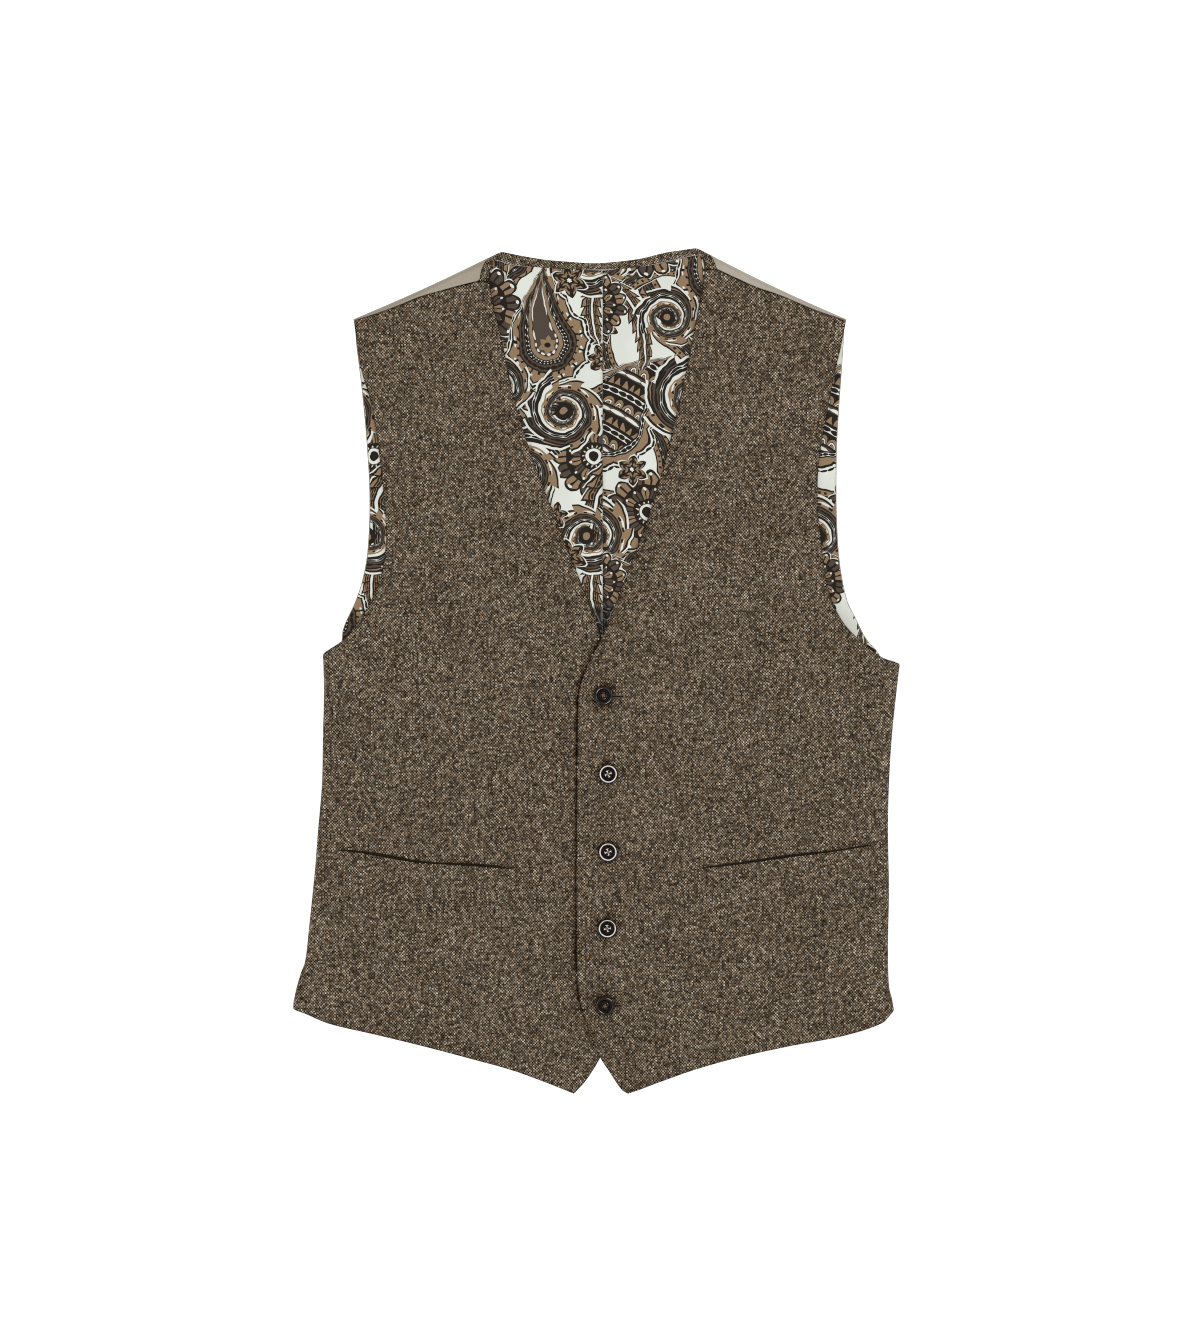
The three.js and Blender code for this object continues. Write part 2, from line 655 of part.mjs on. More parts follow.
// The neck band runs from one shoulder seam over the fold, round the back of the neck and over the
// other fold, between its seam with the back and its own free edge.
function bandGrid() {
  const radius = SHOULDER_RADIUS.band;
  const flat = (side, rows) => rows.map((row) => side.frame.place(row.along, flatInset(row, radius)));
  const seamRows = (side) => {
    const start = side.seam.findIndex((row) => row.corner);
    const rolled = flat(side, side.seam.slice(start));
    return [...rolled, ...side.neck.map(({ x, y }) => ({ x, y }))];
  };
  const edgeRows = (side) => [...flat(side, side.neckEdge), ...side.neckBack];
  const spaced = (rows) => {
    let run = 0;
    const marked = rows.map((row, i) => {
      if (i > 0) run += Math.hypot(row.x - rows[i - 1].x, row.y - rows[i - 1].y);
      return { t: run, x: row.x, y: row.y };
    });
    return through(marked.map((row) => ({ ...row, t: row.t / run })), "t");
  };
  const seam = spaced([...seamRows(RIGHT), ...seamRows(LEFT).reverse()]);
  const edge = spaced([...edgeRows(RIGHT), ...edgeRows(LEFT).reverse()]);
  const folds = { right: foldOver(RIGHT, radius), left: foldOver(LEFT, radius) };
  const lines = [BAND_START, 0.5, 1].map((share) => {
    const line = [];
    for (let i = 0; i <= BAND_COLUMNS; i++) {
      const t = i / BAND_COLUMNS;
      const a = seam(t);
      const b = edge(t);
      const point = { x: a.x + (b.x - a.x) * share, y: a.y + (b.y - a.y) * share };
      line.push((point.x < 0 ? folds.right : folds.left)(point));
    }
    return line;
  });
  return lines;
}

// Reads a point and its normal off the faces of a grid, at a place seen from above.
function onGrid(grid, x, y) {
  for (let j = 0; j < grid.length - 1; j++) {
    for (let i = 0; i < grid[0].length - 1; i++) {
      const [a, b, c, d] = [grid[j][i], grid[j][i + 1], grid[j + 1][i + 1], grid[j + 1][i]];
      for (const [p, q, r] of [[a, b, c], [a, c, d]]) {
        const area = (q[0] - p[0]) * (r[1] - p[1]) - (r[0] - p[0]) * (q[1] - p[1]);
        if (area <= 0) continue;
        const s = ((x - p[0]) * (r[1] - p[1]) - (r[0] - p[0]) * (y - p[1])) / area;
        const t = ((q[0] - p[0]) * (y - p[1]) - (x - p[0]) * (q[1] - p[1])) / area;
        if (s < -1e-9 || t < -1e-9 || s + t > 1 + 1e-9) continue;
        const point = p.map((value, k) => value + s * (q[k] - value) + t * (r[k] - value));
        return { point, normal: unit(cross(minus(q, p), minus(r, p))) };
      }
    }
  }
  throw new Error(`No cloth at ${x}, ${y}`);
}

// A pocket welt laid on a front, made from the front's own points moved out.
function weltGrid(side, front) {
  const first = side.welt[0].x;
  const span = side.welt[side.welt.length - 1].x - first;
  const top = through(side.welt, "x");
  const lines = [];
  for (let j = 0; j <= WELT_ROWS; j++) {
    const line = [];
    for (let i = 0; i <= WELT_COLUMNS; i++) {
      const x = first + (span * i) / WELT_COLUMNS;
      const y = top(x).y - WELT_HEIGHT * (1 - j / WELT_ROWS);
      const { point, normal } = onGrid(front, x, y);
      line.push(offset(point, normal, FRONT_WALL / 2 + WELT_GAP + WELT_WALL / 2));
    }
    lines.push(line);
  }
  return lines;
}

function solidOf(geometry) {
  const bare = geometry.clone();
  bare.deleteAttribute("normal");
  bare.deleteAttribute("uv");
  const merged = mergeVertices(bare, 1e-4);
  const mesh = new wasm.Mesh({
    numProp: 3,
    vertProperties: Float32Array.from(merged.attributes.position.array),
    triVerts: Uint32Array.from(merged.index.array),
  });
  return new wasm.Manifold(mesh);
}

function geometryOf(solid) {
  const mesh = solid.getMesh();
  const geometry = new THREE.BufferGeometry();
  geometry.setAttribute("position", new THREE.Float32BufferAttribute(mesh.vertProperties, 3));
  geometry.setIndex(Array.from(mesh.triVerts));
  geometry.computeVertexNormals();
  return geometry;
}

function buttonGeometry() {
  const profile = BUTTON_PROFILE.map(({ radius, height }) => new THREE.Vector2(radius, height));
  const disc = new THREE.LatheGeometry(profile, BUTTON_SIDES);
  disc.rotateX(Math.PI / 2);
  let solid = solidOf(disc);
  for (let hole = 0; hole < 4; hole++) {
    const angle = Math.PI / 4 + (hole * Math.PI) / 2;
    const drill = new THREE.CylinderGeometry(BUTTON_HOLE_RADIUS, BUTTON_HOLE_RADIUS, 8, 10);
    drill.rotateX(Math.PI / 2);
    drill.translate(BUTTON_HOLE_SPREAD * Math.cos(angle), BUTTON_HOLE_SPREAD * Math.sin(angle), 0);
    solid = solid.subtract(solidOf(drill));
  }
  return geometryOf(solid);
}

for (const side of [RIGHT, LEFT]) {
  side.edge = through(side.fold, "y");
  side.underSeam = through(side.sideSeam, "y");
  side.frame = shoulderFrame(side);
}

const waistcoat = new THREE.Group();
waistcoat.name = "waistcoat";
const finish = (color, roughness) => new THREE.MeshStandardMaterial({ color, roughness, metalness: 0 });
const materials = {
  tweed: finish(COLOURS.tweed, 0.95),
  satin: finish(COLOURS.satin, 0.5),
  lining: finish(COLOURS.lining, 0.6),
  horn: finish(COLOURS.horn, 0.25),
};
function add(name, geometry, slot) {
  const mesh = new THREE.Mesh(geometry, materials[slot]);
  mesh.name = name;
  waistcoat.add(mesh);
  return mesh;
}

const fronts = {};
for (const [word, side] of [["right", RIGHT], ["left", LEFT]]) {
  fronts[word] = facing(side, frontGrid(side));
  add(`back_${word}`, wallAround(facing(side, backGrid(side)), BACK_WALL), "satin");
  add(`lining_${word}`, wallAround(facing(side, liningGrid(side)), LINING_WALL), "lining");
  add(`front_${word}`, wallAround(fronts[word], FRONT_WALL), "tweed");
  add(`welt_${word}`, wallAround(weltGrid(side, fronts[word]), WELT_WALL), "tweed");
}
add("neck_band", wallAround(bandGrid(), BAND_WALL), "tweed");

// Each button lies on the lapped front, its low rim a gap above the cloth.
for (const { name, x, y, tilt, toward } of BUTTONS) {
  const button = add(name, buttonGeometry(), "horn");
  const { point } = onGrid(fronts.left, x, y);
  const lean = THREE.MathUtils.degToRad(tilt);
  const turn = THREE.MathUtils.degToRad(toward);
  const low = BUTTON_PROFILE[1].radius * Math.sin(lean);
  button.rotation.set(-lean * Math.sin(turn), lean * Math.cos(turn), 0);
  button.position.set(x, y, point[2] + FRONT_WALL / 2 + GAP + low);
}

export default waistcoat;
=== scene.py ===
# A suit waistcoat laid flat, dressed over its solids. Shapes are worked out in millimetres and made in
# metres: +Z up, neck toward +Y. Right and left are the wearer's, so the right front is on the -X side.
import math

import bpy
import numpy as np
from mathutils import Matrix, Vector


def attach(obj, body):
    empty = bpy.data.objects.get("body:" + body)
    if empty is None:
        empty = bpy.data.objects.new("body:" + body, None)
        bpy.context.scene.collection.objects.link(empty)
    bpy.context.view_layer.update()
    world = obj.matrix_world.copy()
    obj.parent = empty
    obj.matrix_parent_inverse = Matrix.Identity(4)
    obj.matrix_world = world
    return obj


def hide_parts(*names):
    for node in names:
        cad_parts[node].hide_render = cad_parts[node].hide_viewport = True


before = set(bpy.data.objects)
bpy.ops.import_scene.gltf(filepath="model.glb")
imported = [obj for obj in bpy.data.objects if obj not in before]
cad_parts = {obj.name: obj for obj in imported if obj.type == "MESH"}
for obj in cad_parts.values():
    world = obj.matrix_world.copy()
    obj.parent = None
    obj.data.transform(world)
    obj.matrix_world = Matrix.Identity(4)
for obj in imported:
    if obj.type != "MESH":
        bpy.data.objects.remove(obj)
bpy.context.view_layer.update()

MM = 0.001
RANDOM = np.random.default_rng(7)

# Walls, heights and turns in mm, near those of the solids
GAP = 0.3
FRONT_WALL = 2.0
BACK_WALL = 1.0
LINING_WALL = 0.9
BAND_WALL = 2.0
FRONT_REST = 3.6
LINING_REST = 1.8
LAP_LIFT = 2.5
SIDE_RADIUS = 5.5
SIDE_AXIS = SIDE_RADIUS + FRONT_WALL / 2
SIDE_TOP = FRONT_WALL / 2 + 2 * SIDE_RADIUS
SIDE_EASE = 110
SIDE_FADE = 110
SHOULDER_AXIS = 3.5
SHOULDER_RADIUS = {"back": 3.0, "band": 2.35, "front": 2.35}
SHOULDER_TOP = SHOULDER_AXIS + SHOULDER_RADIUS["front"]
SHOULDER_HOLD = 15
SHOULDER_EASE = 60
SEAM_GAP = 0.5
LAP_EDGE = 38
LAP_EASE = 50
LAP_TOP = 35
LAP_FADE = 60
CENTRE_SEAM = 5
NECK_Y = 321
LINING_INSET = 0.8
# How far down the fronts start to sink to the surface, and over what length
HEM_DROP = (273, 58)
POINT_DROP = (318, 20)
ROLL_ROW = 0.95
BAND_START = 0.012
SEAM_SLIT = 0.04
WELT_HEIGHT = 23
WELT_WALL = 0.8
BAND_WIDTH = 8.0
# Places in mm of the rows next to an edge, on a thin and on a thick shell
THIN_EDGE = (0.0, 0.08, 0.25, 0.6)
THICK_EDGE = (0.0, 0.1, 0.3, 0.6, 1.0, 1.5)

# Each table is its column names, its rows, and the places of its sharp turns.
RIGHT = {
    "inward": 1,
    "grain": 0.006,
    "fold": (
        "y x",
        [(-271, -242.8), (-262, -242), (-243, -237), (-233, -233.4), (-205, -230), (-166, -226),
         (-128, -222.8), (-90, -219.6), (-51, -218.8), (-15, -218), (13, -218.8)],
    ),
    "shoulder": {"x": -194.8, "y": 281.6, "end_x": -82.8, "end_y": 332.8, "bow": 1.1},
    "seam_top": (6, 0.47),
    "side_seam": ("y x", [(-271, -225), (-180, -215.6), (-90, -207), (6, -206)]),
    "hem_side": -270,
    "armhole": (
        "v x y",
        [(0.51, -220.9, 12.8), (0.54, -201.2, 25.6), (0.57, -192.4, 36.8), (0.61, -181.2, 54.4),
         (0.64, -174, 71.2), (0.67, -170, 88.8), (0.71, -168.4, 110.4), (0.77, -170.8, 144.8),
         (0.83, -174.8, 179.2), (0.89, -180.4, 213.6), (0.93, -187.4, 238), (0.96, -190.6, 254)],
    ),
    "opening": (
        "v x y",
        [(0, -18, -338.8), (0.03, -7.6, -327), (0.07, 4, -308), (0.12, 17.5, -279), (0.16, 23, -261),
         (0.2, 24.8, -235), (0.45, 25, -26), (0.475, 20, -9), (0.505, 5.2, 24.8), (0.55, -6.8, 56.8),
         (0.64, -29.2, 112.8), (0.8, -61.2, 200.8), (0.925, -77.2, 271.2), (0.965, -82.8, 293.6),
         (1, -86, 311.4)],
    ),
    "hem": (
        "u x y",
        [(0.075, -241, -271), (0.187, -214, -281.6), (0.346, -175.6, -291.2), (0.502, -138, -300.8),
         (0.652, -102, -310.4), (0.794, -67.6, -320), (0.904, -41.2, -329.6), (1, -18, -338.8)],
    ),
    "back_armhole": (
        "v x y",
        [(0.49, -204.5, 22), (0.52, -202.8, 35.2), (0.55, -194, 54.4), (0.59, -187.6, 73.6),
         (0.63, -183.6, 96.8), (0.7, -182, 138), (0.78, -184.4, 184), (0.86, -188.4, 227),
         (0.93, -192.6, 262), (0.97, -193.5, 277)],
    ),
    # u, how far along the shoulder line, and where across it: past the fold ("reach"), on it ("turn"),
    # or before it ("under")
    "seam": [
        (0, 0, "turn", 2.15), (0.053, 12.6, "turn", 2.84), (0.15, 34.5, "reach", 4.2),
        (0.246, 56, "reach", 5.0), (0.318, 73, "reach", 7.6), (0.384, 89, "reach", 10.4),
        (0.449, 105, "reach", 13.8), (0.484, 109.8, "reach", 6.7), (0.525, 116.2, "turn", 2.4),
        (0.542, 119, "turn", 1.57), (0.556, 121.2, "turn", 0.8), (0.57, 123.4, "under", 3.6),
        (0.6, 127.7, "under", 7.4), (0.635, 133.3, "under", 12.5),
    ],
    "seam_corner": 6,
    "neck": (
        "u x y",
        [(0.715, -52.4, 324), (0.783, -38.8, 322.8), (0.855, -24.4, 322), (0.91, -13.2, 321.6)],
    ),
    "neck_edge": [(110.9, "reach", 16.8), (116, "reach", 9.8), (130.4, "turn", 1.57), (143.5, "under", 9.3)],
    "neck_back": [(-41.2, 329.6), (-22, 328), (-2.8, 326.8)],
    "welt": ("x y", [(-207.6, -143.2), (-186.8, -145.6), (-145.2, -153), (-105.2, -155.8), (-68.4, -158.4)]),
    # Main creases: middle, length, width, lean, depth
    "crease": [(-196, -205, 70, 14, 0.5, 1.2), (-150, 120, 60, 12, 0.2, 0.6)],
    "fine_crease": [
        (-58, 25, 78, 9, -0.1, -0.7), (-120, 180, 50, 15, 0.35, 0.4), (-196, -60, 60, 10, 0.1, 0.5),
        (-214, -262, 22, 9, 0.9, 0.8), (-90, -90, 60, 20, 0.05, -0.35), (-172, -120, 24, 8, -0.3, 0.35),
        (-150, 262, 30, 12, 0.8, 0.4), (-40, -250, 50, 16, 0.15, 0.3),
    ],
}

LEFT = {
    "inward": -1,
    "grain": -0.012,
    "fold": (
        "y x",
        [(-272, 238), (-262, 236.4), (-253, 234.2), (-224, 233.2), (-176, 234), (-128, 233.2), (-90, 234),
         (-51, 236.4), (-13, 240.4), (6, 242.8)],
    ),
    "shoulder": {"x": 200.4, "y": 281.6, "end_x": 82.8, "end_y": 337.6, "bow": 1.5},
    "seam_top": (0, 0.47),
    "side_seam": ("y x", [(-272, 222), (-180, 221.5), (-90, 222), (0, 229.5)]),
    "hem_side": -268,
    "armhole": (
        "v x y",
        [(0.49, 245, 5.2), (0.515, 227.6, 11.2), (0.55, 209.2, 25.6), (0.58, 196.4, 40), (0.62, 186.8, 60.8),
         (0.66, 182, 82.4), (0.7, 179.6, 106.4), (0.745, 177.4, 130), (0.79, 177.2, 156), (0.84, 180.4, 184),
         (0.9, 186.8, 217.6), (0.94, 190.8, 240), (0.97, 194.8, 256)],
    ),
    "opening": (
        "v x y",
        [(0, 25.2, -338.8), (0.02, 19.6, -335), (0.05, 10.4, -321), (0.085, 2.8, -308.8),
         (0.13, -9.2, -279.2), (0.16, -13.5, -263), (0.2, -16, -235), (0.44, -14.8, -23.2), (0.465, -11.6, -7.2), (0.49, -5.2, 8.8),
         (0.52, 5.2, 28.8), (0.58, 20.4, 67.2), (0.65, 35.6, 107.2), (0.73, 50.8, 152.8), (0.8, 62, 197.6),
         (0.88, 73.2, 247.2), (0.935, 79.6, 280.8), (0.975, 84.4, 306.4), (1, 86.8, 320.8)],
    ),
    "hem": (
        "u x y",
        [(0.075, 237.2, -272.8), (0.113, 228.4, -281), (0.242, 198.8, -291.2), (0.445, 152.4, -300.8),
         (0.626, 110.8, -310.4), (0.773, 77.2, -320), (0.892, 50, -329.6), (0.955, 35.6, -335.2),
         (1, 25.2, -338.8)],
    ),
    "back_armhole": (
        "v x y",
        [(0.49, 228, 9), (0.51, 225.2, 16), (0.53, 216.4, 25.6), (0.56, 206.8, 44.8), (0.58, 201.2, 56),
         (0.62, 195.6, 83.2), (0.66, 193.2, 112), (0.72, 192.4, 144.8), (0.78, 192.8, 176.8),
         (0.83, 194, 202.4), (0.9, 196.4, 236.8), (0.95, 198.2, 264), (0.97, 198.8, 277)],
    ),
    "seam": [
        (0, 0, "turn", 2.21), (0.097, 22, "turn", 3.07), (0.184, 41, "reach", 3.85),
        (0.257, 57, "reach", 4.4), (0.346, 77.5, "reach", 6.8), (0.424, 95, "reach", 7.5), (0.5, 112, "reach", 8),
        (0.52, 115, "reach", 4.1), (0.545, 118.7, "turn", 2.4), (0.565, 122, "turn", 1.57),
        (0.586, 125.5, "turn", 0.75), (0.605, 128.6, "under", 3.6), (0.65, 136, "under", 8.5),
        (0.745, 151, "under", 20.7),
    ],
    "seam_corner": 6,
    "neck": ("u x y", [(0.845, 35.6, 324), (0.943, 16.4, 321.8)]),
    "neck_edge": [(119.4, "reach", 13), (121.5, "reach", 7.3), (133, "turn", 1.57), (146.5, "under", 8.7)],
    "neck_back": [(54.8, 335.2), (35.6, 330.6), (16.4, 328)],
    "welt": ("x y", [(81.2, -158.4), (115.6, -154.6), (156.4, -148.8), (188, -144.6), (220.4, -139.2)]),
    "crease": [(183, -10, 55, 11, -0.12, 1.2), (206, -225, 55, 13, -0.35, 0.9)],
    "fine_crease": [
        (192, 20, 26, 7, -0.25, -0.6), (205, -60, 50, 9, 0.1, 0.5), (120, 190, 55, 14, -0.3, 0.4),
        (150, 265, 32, 12, -0.8, 0.4), (218, -262, 24, 10, -1.0, 0.8), (70, -60, 60, 18, -0.08, -0.3),
        (110, -235, 46, 15, -0.25, 0.35), (60, 80, 60, 14, -0.35, 0.3),
    ],
}


# Colours are linear. The weave's cells are in mm, across and up.
TWEED_CELL = (1.11, 1.2)
TWEED_PALE = (0.372, 0.316, 0.238)
TWEED_TAN = (0.300, 0.220, 0.140)
TWEED_DARK = (0.0210, 0.0134, 0.0085)
TWEED_BROWN = (0.056, 0.0360, 0.0225)
# How much browner the tweed turns where it is shaded
TWEED_WARMTH = 0.14
# Each kind of nep: spacing in mm, radius as a share of it, share of places that have one, colour
TWEED_NEPS = [
    (19, 0.036, 0.55, (0.80, 0.78, 0.70)),
    (14, 0.045, 0.5, (0.52, 0.29, 0.12)),
]
# The back's satin: one colour, painted darker on the wearer's right and lighter on the left as the light falls on
# it
SATIN_SHADED_AND_LIT = ((0.372, 0.318, 0.240), (0.436, 0.386, 0.310))
HORN_DARK = (0.006, 0.0038, 0.0028)
HORN_LIGHT = (0.030, 0.017, 0.010)
THREAD = (0.25, 0.18, 0.115)
# Painted shadow: the dark inside a pocket mouth, a buttonhole or a button's hole, laid on as a dark strip or as
# dark faces
OPENING_SHADOW = ((0.006, 0.0045, 0.003), (0.035, 0.027, 0.02))
PRINT_COLOURS = [
    (0, (0.825, 0.850, 0.768)), (0.25, (0.315, 0.210, 0.120)), (0.62, (0.088, 0.064, 0.046)),
    (0.85, (0.0150, 0.0095, 0.0055)),
]
# The print repeats over this many mm, across and up
PRINT_REPEAT = (176, 222)
PRINT_SHIFT = (41, -57)
# Motifs in the order they are laid: kind, middle, size in mm, turn in degrees, 1 or -1 for mirrored
PRINT = [
    ("sprig", -76, 92, 16, 12, 1),
    ("sprig", 20, 2, 15, 50, 1),
    ("sprig", -60, 4, 15, 33, 1),
    ("band", -30, 62, 72, -80, 1),
    ("band", 62, -72, 72, 140, -1),
    ("band", 36, 100, 62, 20, 1),
    ("band", 102, -12, 56, 180, 1),
    ("frond", -4, 72, 42, -4, 1),
    ("fan", -2, -50, 34, 245, 1),
    ("fan", 82, 70, 34, 150, 1),
    ("frond", 4, -76, 60, -24, 1),
    ("rows", 54, -66, 100, -24, 1),
    ("paisley", -44, 50, 86, 24, 1),
    ("curl", 40, 50, 60, 150, 1),
    ("curl", -60, -62, 62, 20, -1),
    ("curl", -8, 108, 52, 250, 1),
    ("curl", -26, -14, 54, 100, -1),
    ("frond", 74, 6, 44, 24, -1),
    ("curl", -78, 4, 44, 40, 1),
    ("sprig", 4, 28, 14, 20, 1),
    ("sprig", 70, 104, 15, 0, 1),
    ("sprig", 47, -4, 14, 10, 1),
    ("fan", 40, 14, 26, 80, 1),
    ("sprig", -34, -98, 14, 40, 1),
    ("sprig", -22, 91, 17, 70, 1),
]
# Shares across the right front between which the left one's edge lies over it
LAP_SHARES = (0.78, 0.90)
# Buttons in mm and degrees: name, place, tilt, which way it tilts, turn of its holes
BUTTONS = [
    ("button_1", 5.8, -20.0, 12, 130, 8),
    ("button_2", 9.4, -82.4, 0, 0, 20),
    ("button_3", 9.2, -144.8, 0, 0, 14),
    ("button_4", 8.7, -206.0, 0, 0, 9),
    ("button_5", 7.3, -267.5, 11, 222, 30),
]
# Outline of a button from the middle of its top, over the rim and round to the middle of its underside
BUTTON_PROFILE = [
    (0.0, 2.28), (1.0, 2.28), (2.0, 2.28), (2.8, 2.26), (3.3, 2.1), (3.75, 1.5), (4.2, 1.28), (4.9, 1.86),
    (5.35, 2.56), (5.65, 2.83), (6.0, 2.9), (6.9, 2.9), (7.22, 2.74), (7.45, 2.3), (7.5, 1.7), (7.36, 1.15),
    (7.0, 0.62), (6.3, 0.12), (5.9, 0.0), (3.0, 0.0), (0.0, 0.0),
]
# Their distance from the middle, radius and depth
BUTTON_HOLES = (1.92, 1.0, 1.9)
# Radii between which its sunk top is dull
BUTTON_TROUGH = (3.0, 5.45)
BUTTON_FOOT = 6.6
BUTTON_SEGMENTS = 144
# Buttonholes: left end, right end and height of each
HOLES = [
    (4.5, 21.6, -20.4), (0.3, 17.6, -82.4), (1.0, 17.8, -144.8), (0.2, 17.2, -206.2), (3.4, 20.0, -267.8),
]
HOLE_THREAD = (0.24, 0.175, 0.115)
# Rise of a buttonhole's stitch above the cloth, from the slit outward
STITCH_RISE = (0.12, 0.26, 0.22, 0.02)

# Floor, lights and view, in metres and watts: name, place, size and power of each light
FLOOR_GLOW = 0.6
WORLD_LIGHT = 0.22
LIGHTS = [
    ("top", (0.0, 0.03, 3.05), 1.15, 42),
    ("key", (1.0, 1.1, 1.7), 0.9, 10),
    ("fill", (-1.5, -0.4, 1.4), 1.2, 7),
]
VIEW_MIDDLE = (0.0028, -0.0004)
VIEW_HEIGHT = 1.0744
LENS = 100
SENSOR = 36


def through(keys, values, corners=()):
    """A smooth line through values at rising keys. The keys' places in corners are sharp turns."""
    keys = np.asarray(keys, float)
    values = np.asarray(values, float)
    own = np.diff(values, axis=0) / np.diff(keys)[:, None]
    into = np.vstack([own[:1], own])
    out = np.vstack([own, own[-1:]])
    both = (values[2:] - values[:-2]) / (keys[2:] - keys[:-2])[:, None]
    for i in range(1, len(keys) - 1):
        if i not in corners:
            into[i] = out[i] = both[i - 1]

    def read(at):
        at = np.clip(np.asarray(at, float), keys[0], keys[-1])
        i = np.clip(np.searchsorted(keys, at, side="right") - 1, 0, len(keys) - 2)
        step = (keys[i + 1] - keys[i])[..., None]
        t = (at - keys[i])[..., None] / step
        start, end = values[i], values[i + 1]
        leave, arrive = out[i] * step, into[i + 1] * step
        bend = (2 * (start - end) + leave + arrive) * t + 3 * (end - start) - 2 * leave - arrive
        return start + t * (leave + t * bend)

    return read


def table_line(table, corners=()):
    rows = np.array(table[1], float)
    return through(rows[:, 0], rows[:, 1:], corners)


def ease(value):
    t = np.clip(value, 0, 1)
    return t * t * (3 - 2 * t)


class Shoulder:
    """The shoulder line as a frame: along it from the armhole, and in from the outline."""

    def __init__(self, side):
        line = side["shoulder"]
        run = math.hypot(line["end_x"] - line["x"], line["end_y"] - line["y"])
        self.start = np.array([line["x"], line["y"]])
        self.along = np.array([line["end_x"] - line["x"], line["end_y"] - line["y"]]) / run
        self.inward = np.array([self.along[1], -self.along[0]]) * side["inward"]
        self.run, self.bow = run, line["bow"]

    def bowed(self, along):
        return self.bow * np.sin(math.pi * np.clip(along / self.run, 0, 1))

    def inset(self, points):
        off = points - self.start
        along = off @ self.along
        return off @ self.inward - self.bowed(along)

    def place(self, along, inset):
        return self.start + self.along * along + self.inward * (inset + self.bowed(along))


def flat_inset(how, amount, radius):
    """Where a row of a seam table lies on cloth laid out flat, for cloth that rolls at this radius."""
    if how == "under":
        return amount
    if how == "turn":
        return SHOULDER_AXIS - radius * amount
    return 2 * SHOULDER_AXIS - radius * math.pi - amount


def front_inset(how, amount):
    if how == "reach":
        return amount + SEAM_GAP
    return SHOULDER_AXIS - SHOULDER_RADIUS["front"] * (math.pi - amount) + SEAM_GAP


def fold_over(side, points, radius):
    """Folds flat cloth over the shoulder line, from its lower layer up and over."""
    inset = side["frame"].inset(points)
    turn = np.maximum(0, (SHOULDER_AXIS - inset) / radius)
    angle = np.minimum(turn, math.pi)
    beyond = np.maximum(0, turn - math.pi) * radius
    rolled = SHOULDER_AXIS - radius * np.sin(angle) + beyond
    shift = np.where(inset < SHOULDER_AXIS, rolled - inset, 0)
    flat = points + shift[..., None] * side["frame"].inward
    return np.dstack([flat, SHOULDER_AXIS - radius * np.cos(angle)])


def soft_creases(rows, x, y):
    height = np.zeros_like(x)
    for middle_x, middle_y, length, width, lean, depth in rows:
        along = (y - middle_y) / length
        across = (x - middle_x - lean * (y - middle_y)) / width
        height += depth * np.exp(-2 * along**2 - across**2) * np.cos(1.8 * across)
    return height


def ripple(x, y, seed, scale, count=7):
    """A gentle uneven swell made of a few crossing waves."""
    random = np.random.default_rng(seed)
    total = np.zeros_like(x)
    for _ in range(count):
        angle = random.uniform(0, math.pi)
        wave = scale * random.uniform(0.6, 1.7)
        phase = random.uniform(0, 2 * math.pi)
        total += np.sin((x * math.cos(angle) + y * math.sin(angle)) * 2 * math.pi / wave + phase)
    return total / count


def front_height(side, x, y):
    """Height of the middle of a front's wall where it lies open, before its edges roll."""
    from_side = side["inward"] * (x - side["edge"](y)[..., 0])
    inset = side["frame"].inset(np.dstack([x, y]))
    side_rise = (1 - ease((from_side - SIDE_AXIS) / SIDE_EASE)) * (1 - ease((y - 20) / SIDE_FADE))
    shoulder_rise = 1 - ease((inset - SHOULDER_HOLD) / SHOULDER_EASE)
    open_cloth = ease((from_side - SIDE_AXIS) / 12)
    height = FRONT_REST + (SIDE_TOP - FRONT_REST) * side_rise + (SHOULDER_TOP - FRONT_REST) * shoulder_rise
    height = height + open_cloth * (1 - side_rise * 0.5) * soft_creases(side["crease"], x, y)
    height -= open_cloth * (FRONT_REST - FRONT_WALL / 2) * ease((-y - HEM_DROP[0]) / HEM_DROP[1])
    if side["inward"] < 0:
        lap = (1 - ease((x - LAP_EDGE) / LAP_EASE)) * (1 - ease((y - LAP_TOP) / LAP_FADE))
        height += LAP_LIFT * lap * (1 - ease((-y - POINT_DROP[0]) / POINT_DROP[1]))
    return height


def place_front(side, points):
    """Places flat points of a front: rolled under at the side, and down at the shoulder fold."""
    x, y = points[..., 0], points[..., 1]
    height = front_height(side, x, y) + side["relief"](x, y)
    fold = side["edge"](y)[..., 0]
    from_side = side["inward"] * (x - fold)
    turn = np.maximum(0, (SIDE_AXIS - from_side) / SIDE_RADIUS)
    angle = np.minimum(turn, math.pi)
    rolled = SIDE_AXIS - SIDE_RADIUS * np.sin(angle) + np.maximum(0, turn - math.pi) * SIDE_RADIUS
    placed_x = np.where(from_side < SIDE_AXIS, fold + side["inward"] * rolled, x)
    height = height - SIDE_RADIUS * (1 - np.cos(angle))
    inset = side["frame"].inset(points)
    radius = SHOULDER_RADIUS["front"]
    lean = np.maximum(0, (SHOULDER_AXIS - inset) / radius)
    shift = np.where(inset < SHOULDER_AXIS, SHOULDER_AXIS - radius * np.sin(lean) - inset, 0)
    placed = np.dstack([placed_x, y]) + shift[..., None] * side["frame"].inward
    return np.dstack([placed, height - radius * (1 - np.cos(lean))])


